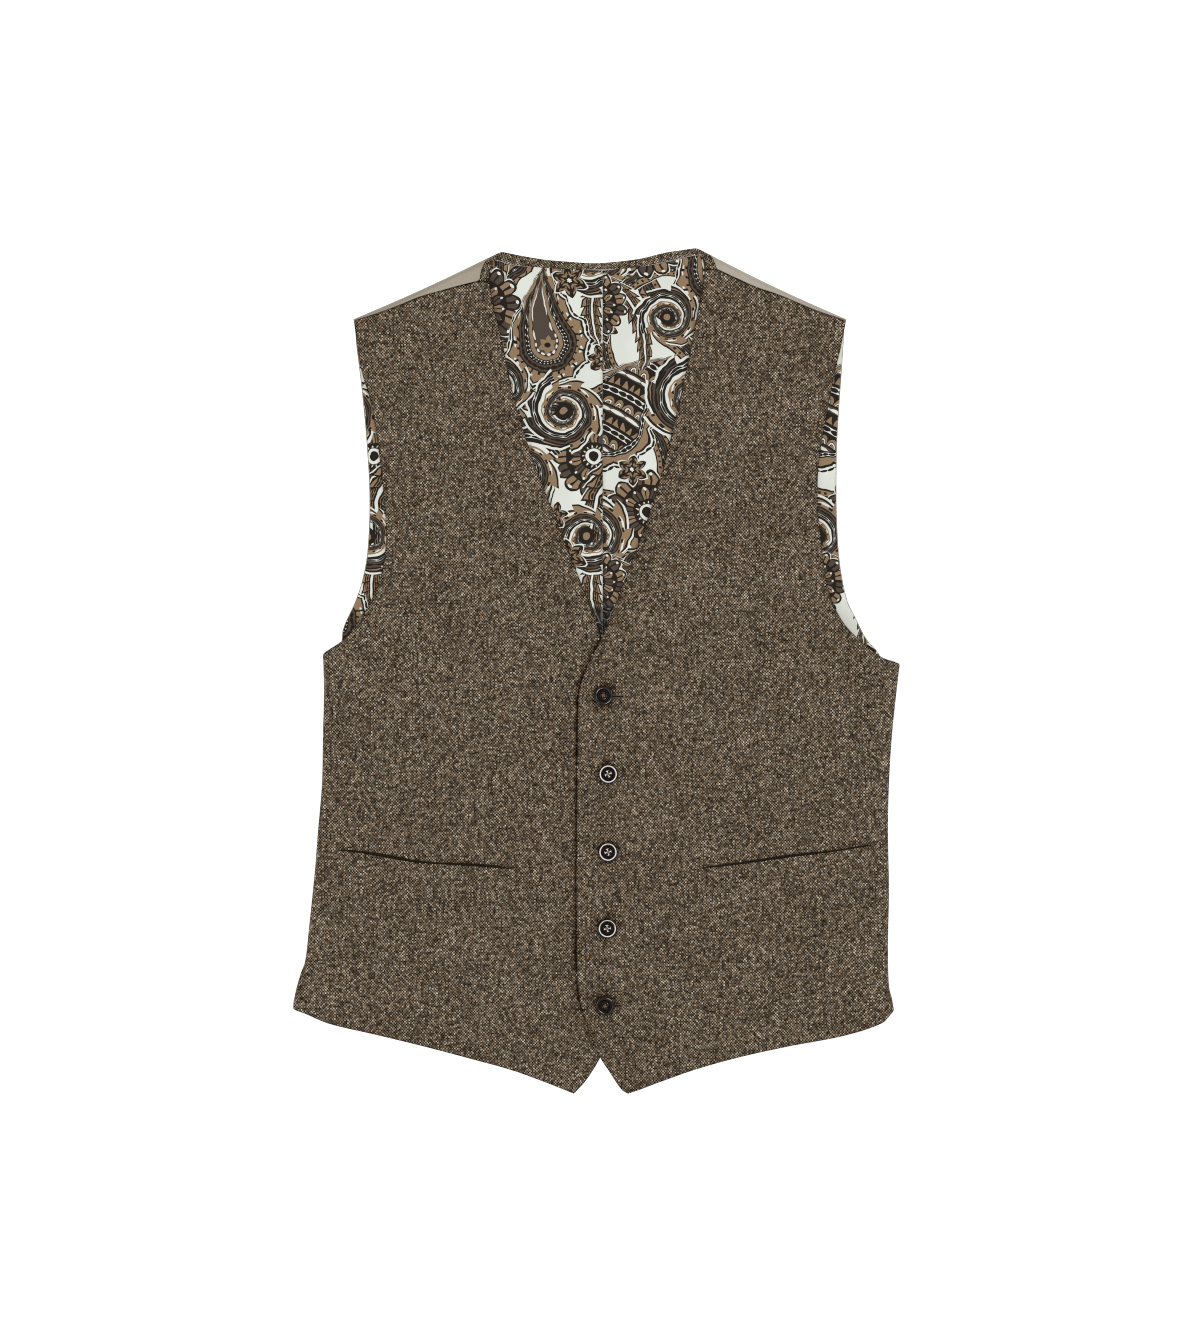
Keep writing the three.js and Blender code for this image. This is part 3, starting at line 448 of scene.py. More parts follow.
def patch(outer, inner, lower, upper):
    """A flat patch between four edge lines that share their corners, read by its two shares."""
    a, b, c, d = lower(0.0), lower(1.0), upper(0.0), upper(1.0)

    def read(u, v):
        s, t = u[..., None], v[..., None]
        corners = (1 - t) * ((1 - s) * a + s * b) + t * ((1 - s) * c + s * d)
        return (1 - s) * outer(v) + s * inner(v) + (1 - t) * lower(u) + t * upper(u) - corners

    return read


def outer_line(side, edge_at, rows):
    """The outer line of a panel: up the side seam, and then round the armhole."""
    top_y, seam_top = side["seam_top"]
    hem_y = side["hem_side"]
    armhole = table_line(("v x y", [(seam_top, *edge_at(np.array(float(top_y))))] + rows))

    def read(v):
        low = edge_at(hem_y + (top_y - hem_y) * np.minimum(v, seam_top) / seam_top)
        return np.where((np.asarray(v) < seam_top)[..., None], low, armhole(v))

    return read


def front_patch(side):
    """A front laid out flat, from the side seam to the front edge."""
    inward = side["inward"]

    def edge_at(y):
        fold = side["edge"](y)[..., 0]
        under = inward * (side["under"](y)[..., 0] - fold) - GAP / 2
        return np.stack([fold + inward * (2 * SIDE_AXIS - SIDE_RADIUS * math.pi - under), y + 0 * fold], -1)

    shoulder_rows = side["seam"][: side["seam_corner"] + 1]
    tops = [side["frame"].place(along, front_inset(how, amount)) for _, along, how, amount in shoulder_rows]
    tops.append(np.array(side["opening"][1][-1][1:]))
    tops = np.array(tops)
    shares = (tops[:, 0] - tops[0, 0]) / (tops[-1, 0] - tops[0, 0])
    seam = through(shares, tops, [len(tops) - 2])
    outer = outer_line(side, edge_at, side["armhole"][1] + [(1, *tops[0])])
    hem_rows = [(0, *edge_at(np.array(float(side["hem_side"]))))] + side["hem"][1]
    return patch(outer, table_line(side["opening"]), table_line(("u x y", hem_rows)), seam)


def back_patch(side, inset, top):
    """Half of the back or of its lining laid out flat, up to the given top line."""
    inward = side["inward"]
    seam_x = CENTRE_SEAM - inward * SEAM_SLIT / 2
    hem_y = side["hem_side"]

    def edge_at(y):
        x = side["under"](y)[..., 0] + inward * (GAP / 2 + inset)
        return np.stack([x, y + 0 * x], -1)

    moved = [(v, x + inward * inset, y) for v, x, y in side["back_armhole"][1]]
    outer = outer_line(side, edge_at, moved + [(1, top[0][1], top[0][2])])
    neckline = table_line(("u x y", top + side["neck"][1] + [(1, seam_x, NECK_Y)]), [side["seam_corner"]])

    def inner(v):
        v = np.asarray(v, float)
        return np.stack([seam_x + 0 * v, hem_y + (NECK_Y - hem_y) * v], -1)

    hem_start = edge_at(np.array(float(hem_y)))

    def hem(u):
        u = np.asarray(u, float)
        return np.stack([hem_start[0] + (seam_x - hem_start[0]) * u, hem_y + 0 * u], -1)

    return patch(outer, inner, hem, neckline)


def shares_with_edges(count, length, edge=THICK_EDGE):
    """Shares from 0 to 1 along a length in mm, close together at both ends so that edges can be round."""
    ends = np.array(edge) / length
    middle = np.linspace(ends[-1], 1 - ends[-1], count)
    return np.concatenate([ends[:-1], middle, 1 - ends[:-1][::-1]])


def edge_distance(points):
    """Distance of each grid point from the nearest edge of its row and of its column."""
    across = np.linalg.norm(np.diff(points, axis=1), axis=-1)
    along = np.linalg.norm(np.diff(points, axis=0), axis=-1)
    run_u = np.pad(np.cumsum(across, axis=1), ((0, 0), (1, 0)))
    run_v = np.pad(np.cumsum(along, axis=0), ((1, 0), (0, 0)))
    near_u = np.minimum(run_u, run_u[:, -1:] - run_u)
    near_v = np.minimum(run_v, run_v[-1:, :] - run_v)
    return np.minimum(near_u, near_v)


def grid_normals(grid):
    across = np.gradient(grid, axis=1)
    up = np.gradient(grid, axis=0)
    normals = np.cross(across, up)
    return normals / np.linalg.norm(normals, axis=-1, keepdims=True)


def grid_area(grid):
    a, b, c, d = grid[:-1, :-1], grid[:-1, 1:], grid[1:, 1:], grid[1:, :-1]
    halves = np.cross(b - a, c - a), np.cross(c - a, d - a)
    return sum(np.linalg.norm(half, axis=-1).sum() for half in halves) / 2


def grid_faces(at, turned=False):
    """The four corners of each face of a grid of point numbers."""
    corners = [at[:-1, :-1], at[:-1, 1:], at[1:, 1:], at[1:, :-1]]
    if turned:
        corners.reverse()
    return np.stack([corner.ravel() for corner in corners], 1)


def make_mesh(name, points, faces, uvs=None, material=None, shade=None):
    mesh = bpy.data.meshes.new(name)
    mesh.from_pydata((np.asarray(points) * MM).tolist(), [], faces)
    if uvs is not None:
        layer = mesh.uv_layers.new(name="cloth")
        corners = np.zeros(len(mesh.loops), int)
        mesh.loops.foreach_get("vertex_index", corners)
        layer.data.foreach_set("uv", (np.asarray(uvs)[corners] * MM).astype(np.float32).ravel())
    mesh.polygons.foreach_set("use_smooth", [True] * len(mesh.polygons))
    # shade: a factor on the cloth's colour that holds painted light and shade
    layer = mesh.attributes.new("shade", "FLOAT", "POINT")
    layer.data.foreach_set("value", np.ones(len(mesh.vertices)) if shade is None else shade)
    obj = bpy.data.objects.new(name, mesh)
    bpy.context.scene.collection.objects.link(obj)
    if material is not None:
        mesh.materials.append(material)
    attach(obj, "root")
    return obj


def cloth_shell(name, grid, flat, wall, material, round_edge=1.0, profile=None, shade=None):
    """A closed shell round a grid of points, thinning to a round edge. flat gives its weave's places."""
    profile = np.ones(grid.shape[:2]) if profile is None else profile
    shade = np.ones(grid.shape[:2]) if shade is None else shade
    if grid_normals(grid)[grid.shape[0] // 2, grid.shape[1] // 2, 2] < 0:
        grid, flat, profile, shade = [part[:, ::-1] for part in (grid, flat, profile, shade)]
    normals = grid_normals(grid)
    near = np.clip(edge_distance(grid) / round_edge, 0, 1)
    half = wall / 2 * np.sqrt(np.maximum(0, 1 - (1 - near) ** 2))
    upper = half * profile
    rows, columns = grid.shape[:2]
    outer = grid + normals * upper[..., None]
    inner = (grid - normals * half[..., None])[1:-1, 1:-1]
    top = np.arange(rows * columns).reshape(rows, columns)
    under = top.copy()
    under[1:-1, 1:-1] = rows * columns + np.arange((rows - 2) * (columns - 2)).reshape(rows - 2, columns - 2)
    faces = np.vstack([grid_faces(top), grid_faces(under, turned=True)]).tolist()
    points = np.vstack([outer.reshape(-1, 3), inner.reshape(-1, 3)])
    uvs = np.vstack([flat.reshape(-1, 2), flat[1:-1, 1:-1].reshape(-1, 2)])
    shades = np.concatenate([shade.ravel(), shade[1:-1, 1:-1].ravel()])
    return make_mesh(name, points, faces, uvs, material, shades)


def turned_grain(flat, angle, origin=(0, 0)):
    c, s = math.cos(angle), math.sin(angle)
    x, y = flat[..., 0] - origin[0], flat[..., 1] - origin[1]
    return np.stack([x * c - y * s, x * s + y * c], -1)


def declare(node, size, area):
    """Hides the solid that a cloth piece stands for. Its size and area, given in mm, are worked out but not kept.
    """
    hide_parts(node)
    width, length = [float(part) * MM for part in size]
    area = float(min(area * MM * MM, width * length))


class Value:
    """A number in a shader tree. Sums with it add the math nodes that work them out."""

    def __init__(self, tree, socket):
        self.tree = tree
        self.socket = socket

    def math(self, kind, *others):
        node = self.tree.nodes.new("ShaderNodeMath")
        node.operation = kind
        for slot, item in zip(node.inputs, (self, *others)):
            plug(self.tree, slot, item)
        return Value(self.tree, node.outputs[0])

    def __add__(self, other):
        return self.math("ADD", other)

    def __sub__(self, other):
        return self.math("SUBTRACT", other)

    def __mul__(self, other):
        return self.math("MULTIPLY", other)

    def __truediv__(self, other):
        return self.math("DIVIDE", other)

    def __rsub__(self, other):
        return self * -1 + other

    __radd__ = __add__
    __rmul__ = __mul__

    def sine(self):
        return self.math("SINE")

    def whole(self):
        return self.math("FLOOR")

    def part(self):
        return self.math("FRACT")

    def size(self):
        return self.math("ABSOLUTE")

    def below(self, limit):
        return self.math("LESS_THAN", limit)

    def over(self, limit):
        return self.math("GREATER_THAN", limit)

    def near(self, middle, reach):
        return self.math("COMPARE", middle, reach)

    def tooth(self):
        """A zigzag from 0 to 1 and back for each whole step."""
        return self.math("PINGPONG", 0.5) * 2

    def span(self, low, high, start=0.0, end=1.0):
        node = self.tree.nodes.new("ShaderNodeMapRange")
        node.interpolation_type = "SMOOTHSTEP"
        for slot, item in zip(node.inputs, (self, low, high, start, end)):
            plug(self.tree, slot, item)
        return Value(self.tree, node.outputs[0])

    def ramp(self, stops):
        """A stepped tone for each stop of (from where, tone)."""
        return steps_of_colour(self, [(place, (tone, tone, tone)) for place, tone in stops])


def steps_of_colour(value, stops):
    """A colour that changes at each stop of (from where, colour)."""
    node = value.tree.nodes.new("ShaderNodeValToRGB")
    node.color_ramp.interpolation = "CONSTANT"
    elements = node.color_ramp.elements
    while len(elements) < len(stops):
        elements.new(0.5)
    for element, (place, colour) in zip(elements, stops):
        element.position = place
        element.color = (*colour, 1)
    plug(value.tree, node.inputs[0], value)
    return Value(value.tree, node.outputs[0])


def plug(tree, socket, item):
    if isinstance(item, Value):
        tree.links.new(item.socket, socket)
    else:
        socket.default_value = item


def paint(under, mask, tone):
    """Lays a tone over another where the mask is 1."""
    node = under.tree.nodes.new("ShaderNodeMix")
    for slot, item in ((0, mask), (2, under), (3, tone)):
        plug(under.tree, node.inputs[slot], item)
    return Value(under.tree, node.outputs[0])


def layered(tone, *layers):
    """Lays each layer of (mask, tone) over the ones before it."""
    for mask, over in layers:
        tone = paint(tone, mask, over)
    return tone


def blend(tree, factor, first, second, kind="MIX"):
    node = tree.nodes.new("ShaderNodeMix")
    node.data_type = "RGBA"
    node.blend_type = kind
    for slot, item in ((0, factor), (6, first), (7, second)):
        if isinstance(item, tuple):
            item = (*item, 1)
        plug(tree, node.inputs[slot], item)
    return Value(tree, node.outputs[2])


def combine(tree, x, y, z=0.0):
    node = tree.nodes.new("ShaderNodeCombineXYZ")
    for slot, item in zip(node.inputs, (x, y, z)):
        plug(tree, slot, item)
    return Value(tree, node.outputs[0])


def vector_math(tree, kind, vector, *others):
    node = tree.nodes.new("ShaderNodeVectorMath")
    node.operation = kind
    for slot, item in zip(node.inputs, (vector, *others)):
        plug(tree, slot, item)
    return Value(tree, node.outputs[0])


def split(tree, vector):
    node = tree.nodes.new("ShaderNodeSeparateXYZ")
    plug(tree, node.inputs[0], vector)
    return Value(tree, node.outputs[0]), Value(tree, node.outputs[1])


def noise(tree, vector, scale=1.0, detail=2.0, rough=0.5):
    node = tree.nodes.new("ShaderNodeTexNoise")
    node.noise_dimensions = "2D"
    plug(tree, node.inputs["Vector"], vector)
    plug(tree, node.inputs["Scale"], scale)
    plug(tree, node.inputs["Detail"], detail)
    plug(tree, node.inputs["Roughness"], rough)
    return Value(tree, node.outputs[0])


def white_noise(tree, vector):
    node = tree.nodes.new("ShaderNodeTexWhiteNoise")
    node.noise_dimensions = "2D"
    plug(tree, node.inputs["Vector"], vector)
    return Value(tree, node.outputs[0])


def flecks(tree, vector, reach, share):
    """Round flecks, one in each cell, kept in a share of the cells."""
    node = tree.nodes.new("ShaderNodeTexVoronoi")
    node.voronoi_dimensions = "2D"
    plug(tree, node.inputs["Vector"], vector)
    node.inputs["Scale"].default_value = 1.0
    kept = split(tree, Value(tree, node.outputs["Color"]))[0].below(share)
    return Value(tree, node.outputs["Distance"]).span(reach, reach * 0.6) * kept


def cloth_millimetres(tree):
    """Where a point lies on its flat cloth, in mm."""
    node = tree.nodes.new("ShaderNodeUVMap")
    node.uv_map = "cloth"
    x, y = split(tree, Value(tree, node.outputs[0]))
    return x * 1000, y * 1000


def object_metres(tree):
    """Where a point lies on its piece, in metres."""
    node = tree.nodes.new("ShaderNodeTexCoord")
    return split(tree, Value(tree, node.outputs["Object"]))


def attribute(tree, name):
    node = tree.nodes.new("ShaderNodeAttribute")
    node.attribute_name = name
    return Value(tree, node.outputs["Fac"])


def new_material(name, roughness, specular=0.5):
    material = bpy.data.materials.new(name)
    material.use_nodes = True
    tree = material.node_tree
    shader = tree.nodes["Principled BSDF"]
    shader.inputs["Roughness"].default_value = roughness
    shader.inputs["Specular IOR Level"].default_value = specular
    return material, tree, shader


def bump(tree, shader, height, depth):
    node = tree.nodes.new("ShaderNodeBump")
    node.inputs["Distance"].default_value = depth * MM
    plug(tree, node.inputs["Height"], height)
    tree.links.new(node.outputs[0], shader.inputs["Normal"])


def shaded(tree, colour, value, warmth=0.0):
    """A colour times a value. With warmth it turns browner where the value is below 1."""
    node = tree.nodes.new("ShaderNodeCombineColor")
    for step, slot in enumerate(node.inputs[:3]):
        plug(tree, slot, value.math("POWER", 1 + warmth * step) if warmth else value)
    return blend(tree, 1.0, colour, Value(tree, node.outputs[0]), "MULTIPLY")


def tweed_material():
    """A plain weave of a light and a dark yarn, with slubs, streaks and pale and tan neps."""
    material, tree, shader = new_material("tweed", 0.95, 0.05)
    x, y = cloth_millimetres(tree)
    place = combine(tree, x, y)
    wander = noise(tree, place, 0.06, 2.0) - 0.5
    jitter = noise(tree, place, 0.5, 1.0) - 0.5
    a = (x + wander * 1.6 + jitter * 0.5) / TWEED_CELL[0]
    b = (y + wander * 1.2 - jitter * 0.4) / TWEED_CELL[1]
    waves = (a * math.pi).sine() * (b * math.pi).sine()
    light = waves.span(-0.30, 0.42)
    cell = combine(tree, a.whole(), b.whole())
    grain = white_noise(tree, cell)
    tint = white_noise(tree, combine(tree, b.whole() + 31.4, a.whole() + 7.7))
    warp_yarn = noise(tree, combine(tree, a.whole() * 3.7, y * 0.045), 1.0, 3.0)
    weft_yarn = noise(tree, combine(tree, x * 0.05, b.whole() * 3.1), 1.0, 3.0)
    cloud = noise(tree, place, 0.16, 3.0, 0.6)
    drift = noise(tree, place, 0.022, 2.0)

    pale = blend(tree, tint.span(0.25, 0.95), TWEED_PALE, TWEED_TAN)
    dark = blend(tree, tint.span(0.55, 1.0), TWEED_DARK, TWEED_BROWN)
    pale = shaded(tree, pale, grain.span(0, 1, 0.32, 1.65) * warp_yarn.span(0.3, 0.7, 0.75, 1.25))
    dark = shaded(tree, dark, grain.span(0, 1, 0.4, 2.4) * weft_yarn.span(0.3, 0.7, 0.6, 1.5))
    colour = blend(tree, light, dark, pale)
    clump = noise(tree, place, 0.40, 1.0)
    shade = cloud.span(0.3, 0.62, 0.72, 1.05) * drift.span(0.3, 0.7, 0.94, 1.06)
    # Random mottling, times the painted light and shade of the shade attribute
    shade = shade * clump.span(0.3, 0.7, 0.62, 1.32) * attribute(tree, "shade")
    colour = shaded(tree, colour, shade, TWEED_WARMTH)
    for size, reach, share, tone in TWEED_NEPS:
        apart = combine(tree, x * (1.0 / size) + tone[0] * 9, y * (0.8 / size))
        spots = flecks(tree, apart, reach, share)
        colour = blend(tree, spots * light.span(0, 1, 0.45, 1.0), colour, tone)
    tree.links.new(colour.socket, shader.inputs["Base Color"])
    bump(tree, shader, waves.size() * grain.span(0, 1, 0.5, 1.0) + cloud * 0.8, 0.28)
    return material


def satin_material():
    material, tree, shader = new_material("satin", 0.42, 0.45)
    x, y = cloth_millimetres(tree)
    place = combine(tree, x, y)
    threads = noise(tree, combine(tree, x * 4.2, y * 0.25), 1.0, 1.0)
    soft = noise(tree, place, 0.018, 2.0)
    # Painted light: the satin turns lighter from the wearer's right half to the left
    side = x.span(-60, 60)
    colour = blend(tree, side, SATIN_SHADED_AND_LIT[0], SATIN_SHADED_AND_LIT[1])
    tone = threads.span(0.2, 0.8, 0.97, 1.03) * soft.span(0.3, 0.7, 0.96, 1.04) * attribute(tree, "shade")
    colour = shaded(tree, colour, tone)
    tree.links.new(colour.socket, shader.inputs["Base Color"])
    bump(tree, shader, threads + soft * 4, 0.08)
    return material


def horn_material(name, roughness, specular):
    material, tree, shader = new_material(name, roughness, specular)
    shader.inputs["IOR"].default_value = 1.6
    x, y = object_metres(tree)
    streaks = noise(tree, combine(tree, x * 1400 + y * 300, y * 260), 1.0, 4.0, 0.6)
    colour = blend(tree, streaks.span(0.42, 0.72), HORN_DARK, HORN_LIGHT)
    tree.links.new(colour.socket, shader.inputs["Base Color"])
    return material


def fibre_material(name, roughness, specular, fineness, low, dark, light):
    """A mottled matt material, for thread and for the painted shadow inside an opening."""
    material, tree, shader = new_material(name, roughness, specular)
    x, y = object_metres(tree)
    fibre = noise(tree, combine(tree, x * fineness, y * fineness), 1.0, 2.0)
    shown = blend(tree, fibre.span(low, 0.7), dark, light)
    tree.links.new(shown.socket, shader.inputs["Base Color"])
    return material


def thread_material(name, colour):
    return fibre_material(name, 0.7, 0.3, 2600, 0.3, tuple(part * 0.55 for part in colour), colour)


# The printed lining. A motif is a node group that takes a place on its own scale, and gives where it
# covers the cloth and its tone there: 0 white, 0.5 tan and 1 dark.
def motif(draw):
    group = bpy.data.node_groups.new(draw.__name__, "ShaderNodeTree")
    group.interface.new_socket("Place", in_out="INPUT", socket_type="NodeSocketVector")
    group.interface.new_socket("Cover", in_out="OUTPUT", socket_type="NodeSocketFloat")
    group.interface.new_socket("Tone", in_out="OUTPUT", socket_type="NodeSocketFloat")
    source = group.nodes.new("NodeGroupInput")
    result = group.nodes.new("NodeGroupOutput")
    cover, tone = draw(group, *split(group, Value(group, source.outputs[0])))
    plug(group, result.inputs[0], cover)
    plug(group, result.inputs[1], tone)
    return group


def spots_along(run, across, middle, reach, stretch=1.0):
    """Round spots, one for each whole step of run, in the middle of a row."""
    off = (run.part() - 0.5) * stretch
    side = (across - middle) / reach
    return (off * off * 4 + side * side).below(1)


def drop_field(x, y):
    """Nested teardrops with a bent tip: how far out a place lies, and how far round."""
    rise = (y + 0.12).math("MAXIMUM", 0.0)
    fall = (y + 0.12).math("MINIMUM", 0.0)
    bent = x - rise * rise * 0.62
    narrow = ((1 - rise * 1.35).math("MAXIMUM", 0.02)).math("POWER", 0.72)
    wide = bent / narrow
    out = (wide * wide + fall * fall).math("SQRT") / 0.36 + (rise * 1.4).math("POWER", 6.0)
    turn = wide.math("ARCTAN2", fall * -1 - rise * 0.9)
    return out + rise * rise * 0.3, turn


def draw_paisley(tree, x, y):
    """A teardrop of nested bands round a dark field, with a leafy edge."""
    out, turn = drop_field(x, y)
    leaf = (turn * 2.07).tooth()
    edge = out - leaf * leaf * 0.13
    tone = (out / 1.25).ramp([
        (0, 0.7), (0.235, 1), (0.265, 0.5), (0.345, 1), (0.37, 0), (0.43, 1), (0.46, 0.7), (0.585, 1),
        (0.61, 0.5),
    ])
    tone = layered(
        tone,
        (spots_along(turn * 5.5, out, 0.505, 0.04), 1),
        (spots_along(turn * 4.0, out, 0.655, 0.04), 1),
        (out.near(0.80, 0.035) * (turn * 4.6 + out * 1.5).tooth().below(0.30), 1),
        (spots_along(turn * 2.07 + 0.5, out, 0.905, 0.03, 2.2), 0),
        (out.over(0.84) * (turn * 2.07).tooth().below(0.13), 1),
    )
    petals = x.math("ARCTAN2", y + 0.14) * 0.95493
    reach = (x * x + (y + 0.14) * (y + 0.14)).math("SQRT")
    tone = layered(
        tone,
        ((reach - petals.tooth() * 0.035).below(0.055), 0.5),
        (reach.below(0.026), 1),
        (spots_along(turn * 1.9, out, 0.29, 0.028, 1.5), 0),
        (edge.over(0.95), 1),
        (edge.over(1.0), 0),
        (spots_along(turn * 6.2, edge, 1.075, 0.036), 1),
    )
    return edge.below(1.13), tone


def draw_curl(tree, x, y):
    """A curl: an arm that winds in, toothed along its outer edge."""
    reach = (x * x + y * y).math("SQRT").math("MAXIMUM", 0.02)
    turn = y.math("ARCTAN2", x) / (2 * math.pi) + 0.5
    laps = (reach / 0.095).math("LOGARITHM", 2.25) - turn
    across = laps.part()
    run = laps.whole() + turn
    outer = run.over(0.96)
    teeth = (run * 8).part()
    tail = run.span(1.2, 1.98)
    edge = 1 - outer * (1 - teeth) * 0.24 - tail * 0.62
    tone = across.ramp([(0, 1), (0.08, 0), (0.19, 1), (0.25, 0.7), (0.45, 1), (0.51, 0.5), (0.95, 1)])
    tone = layered(
        tone,
        (spots_along(run * 13, across, 0.135, 0.045), 1),
        (spots_along(run * 10, across, 0.345, 0.05), 1),
        (spots_along(run * 8 + 0.2, across, 0.66, 0.045, 1.6), 0),
        (across.near(0.60, 0.05) * (run * 16).tooth().below(0.36), 1),
        (across.over(edge - 0.07), 1),
        (across.over(0.78) * (1 - outer), 0),
        (across.over(0.93) * (1 - outer), 1),
        (across.over(edge), 0),
    )
    eye = reach.below(0.135)
    tone = paint(tone, eye, 1)
    tone = paint(tone, reach.below(0.06), 0.5)
    arm = run.below(1.98) * run.over(0.0) * across.below(edge + 0.07)
    return arm.math("MAXIMUM", eye), tone


def draw_band(tree, x, y):
    """A striped band that sweeps round in an arc of radius 1."""
    reach = (x * x + y * y).math("SQRT")
    turn = y.math("ARCTAN2", x)
    across = (reach - 1) / 0.27 + 0.5
    leaf = (turn * 3.2).tooth()
    tone = across.ramp([
        (0, 0), (0.03, 1), (0.10, 0.5), (0.29, 1), (0.36, 0), (0.42, 1), (0.49, 0.7), (0.66, 1), (0.72, 0.5),
        (0.92, 1),
    ])
    tone = layered(
        tone,
        (across.near(0.20, 0.05) * (turn * 12).tooth().below(0.36), 1),
        (spots_along(turn * 9, across, 0.39, 0.03), 1),
        (spots_along(turn * 7, across, 0.575, 0.04), 1),
        (across.near(0.82, 0.08) * (turn * 6).tooth().near(across * 2.4 - 1.4, 0.14), 1),
    )
    low = 1 - leaf * 0.10
    tone = paint(tone, across.over(low - 0.10), 1)
    tone = paint(tone, across.over(low - 0.04), 0)
    return across.over(0.0) * across.below(low) * turn.near(0.0, 1.75), tone


def draw_rows(tree, x, y):
    """A broad leaf filled with rows of arches, spots and teeth."""
    out, turn = drop_field(x, y)
    leaf = (turn * 1.75).tooth()
    edge = out - (1 - (1 - leaf) * (1 - leaf)) * 0.10
    bowed = y + x * x * 0.5
    row = bowed * 13
    which = (row.whole() / 4).part()
    within = row.part()
    arch_x = (x * 11).part() - 0.5
    arches = (arch_x * arch_x * 3.2 + within * within).math("SQRT")
    arch_row = (arches / 1.5).ramp([(0, 0.5), (0.15, 1), (0.21, 0), (0.31, 1), (0.37, 0.5), (0.56, 1)])
    spot_row = paint(within.ramp([(0, 1), (0.2, 0), (0.8, 1)]), spots_along(x * 14, within, 0.5, 0.24), 1)
    tooth_row = paint(within.ramp([(0, 1), (0.14, 0.5), (0.84, 1)]), (x * 17).tooth().below(within), 1)
    bare_row = paint(within.ramp([(0, 1), (0.2, 0.7), (0.78, 1)]), spots_along(x * 8, within, 0.48, 0.17), 0)
    tone = arch_row
    tone = layered(
        tone,
        (which.near(0.25, 0.1), spot_row),
        (which.near(0.5, 0.1), tooth_row),
        (which.near(0.75, 0.1), bare_row),
        (out.over(0.74), 1),
        (out.near(0.81, 0.035), 0),
        (spots_along(turn * 6, out, 0.81, 0.03), 1),
        (out.over(0.875), 0.5),
        (edge.over(0.95), 1),
        (edge.over(1.0), 0),
        (spots_along(turn * 7, edge, 1.065, 0.03), 1),
    )
    return edge.below(1.11), tone


def draw_fan(tree, x, y):
    """A fan of overlapping feathers, in three rows."""
    reach = (x * x + y * y).math("SQRT")
    turn = y.math("ARCTAN2", x) * 2.2
    row = reach * 3
    shifted = turn + row.whole() * 0.5
    petal = (shifted.part() - 0.5).size() * 2
    within = row.part()
    top = 1 - petal * petal * 0.5
    tone = paint(within.ramp([(0, 0.5)]), (shifted / 2).part().over(0.5), 0.7)
    tone = layered(
        tone,
        (petal.below(0.14), 1),
        (petal.over(0.80), 1),
        (within.over(top - 0.20), 1),
        (spots_along(shifted, within, 0.72, 0.10, 5.0), 0),
        (reach.below(0.2), 1),
        (reach.near(0.15, 0.035), 0),
        (row.over(2.0) * within.over(top), 0),
    )
    return reach.below(1.0) * (1 - row.over(2.0) * within.over(top + 0.12)), tone


def draw_sprig(tree, x, y):
    """A small leafy flower with rounded petals."""
    reach = (x * x + y * y).math("SQRT")
    turn = y.math("ARCTAN2", x) * (6 / (2 * math.pi))
    petal = turn.tooth().math("POWER", 0.6)
    rim = petal * 0.46 + 0.46
    out = reach / rim
    tone = out.ramp([(0, 0), (0.12, 1), (0.30, 0.5), (0.80, 1)])
    tone = layered(
        tone,
        ((turn + 0.5).tooth().below(0.2) * out.over(0.30), 1),
        (spots_along(turn * 2, out, 0.56, 0.10), 1),
        (out.over(0.92), 0),
    )
    return out.below(1.0), tone


def draw_frond(tree, x, y):
    """A tall leaf with saw teeth along both edges and a striped rib."""
    bent = x - y * y * 0.35
    side = bent.size()
    width = ((1 - y * y).math("MAXIMUM", 0.0)).math("POWER", 0.6) * 0.21
    teeth = (y * 5.5 + side * 2.2).part()
    rib = side / (width + 0.001)
    edge = rib - (1 - teeth) * 0.35
    tone = rib.ramp([(0, 0), (0.10, 1), (0.24, 0.5), (0.46, 1), (0.56, 0.5)])
    tone = layered(
        tone,
        (spots_along(y * 11, rib, 0.35, 0.07), 1),
        (edge.over(0.56), 1),
        (rib.over(0.24) * teeth.below(0.12), 1),
        (edge.over(0.70), 0),
    )
    return edge.below(0.80) * y.size().below(0.985), tone


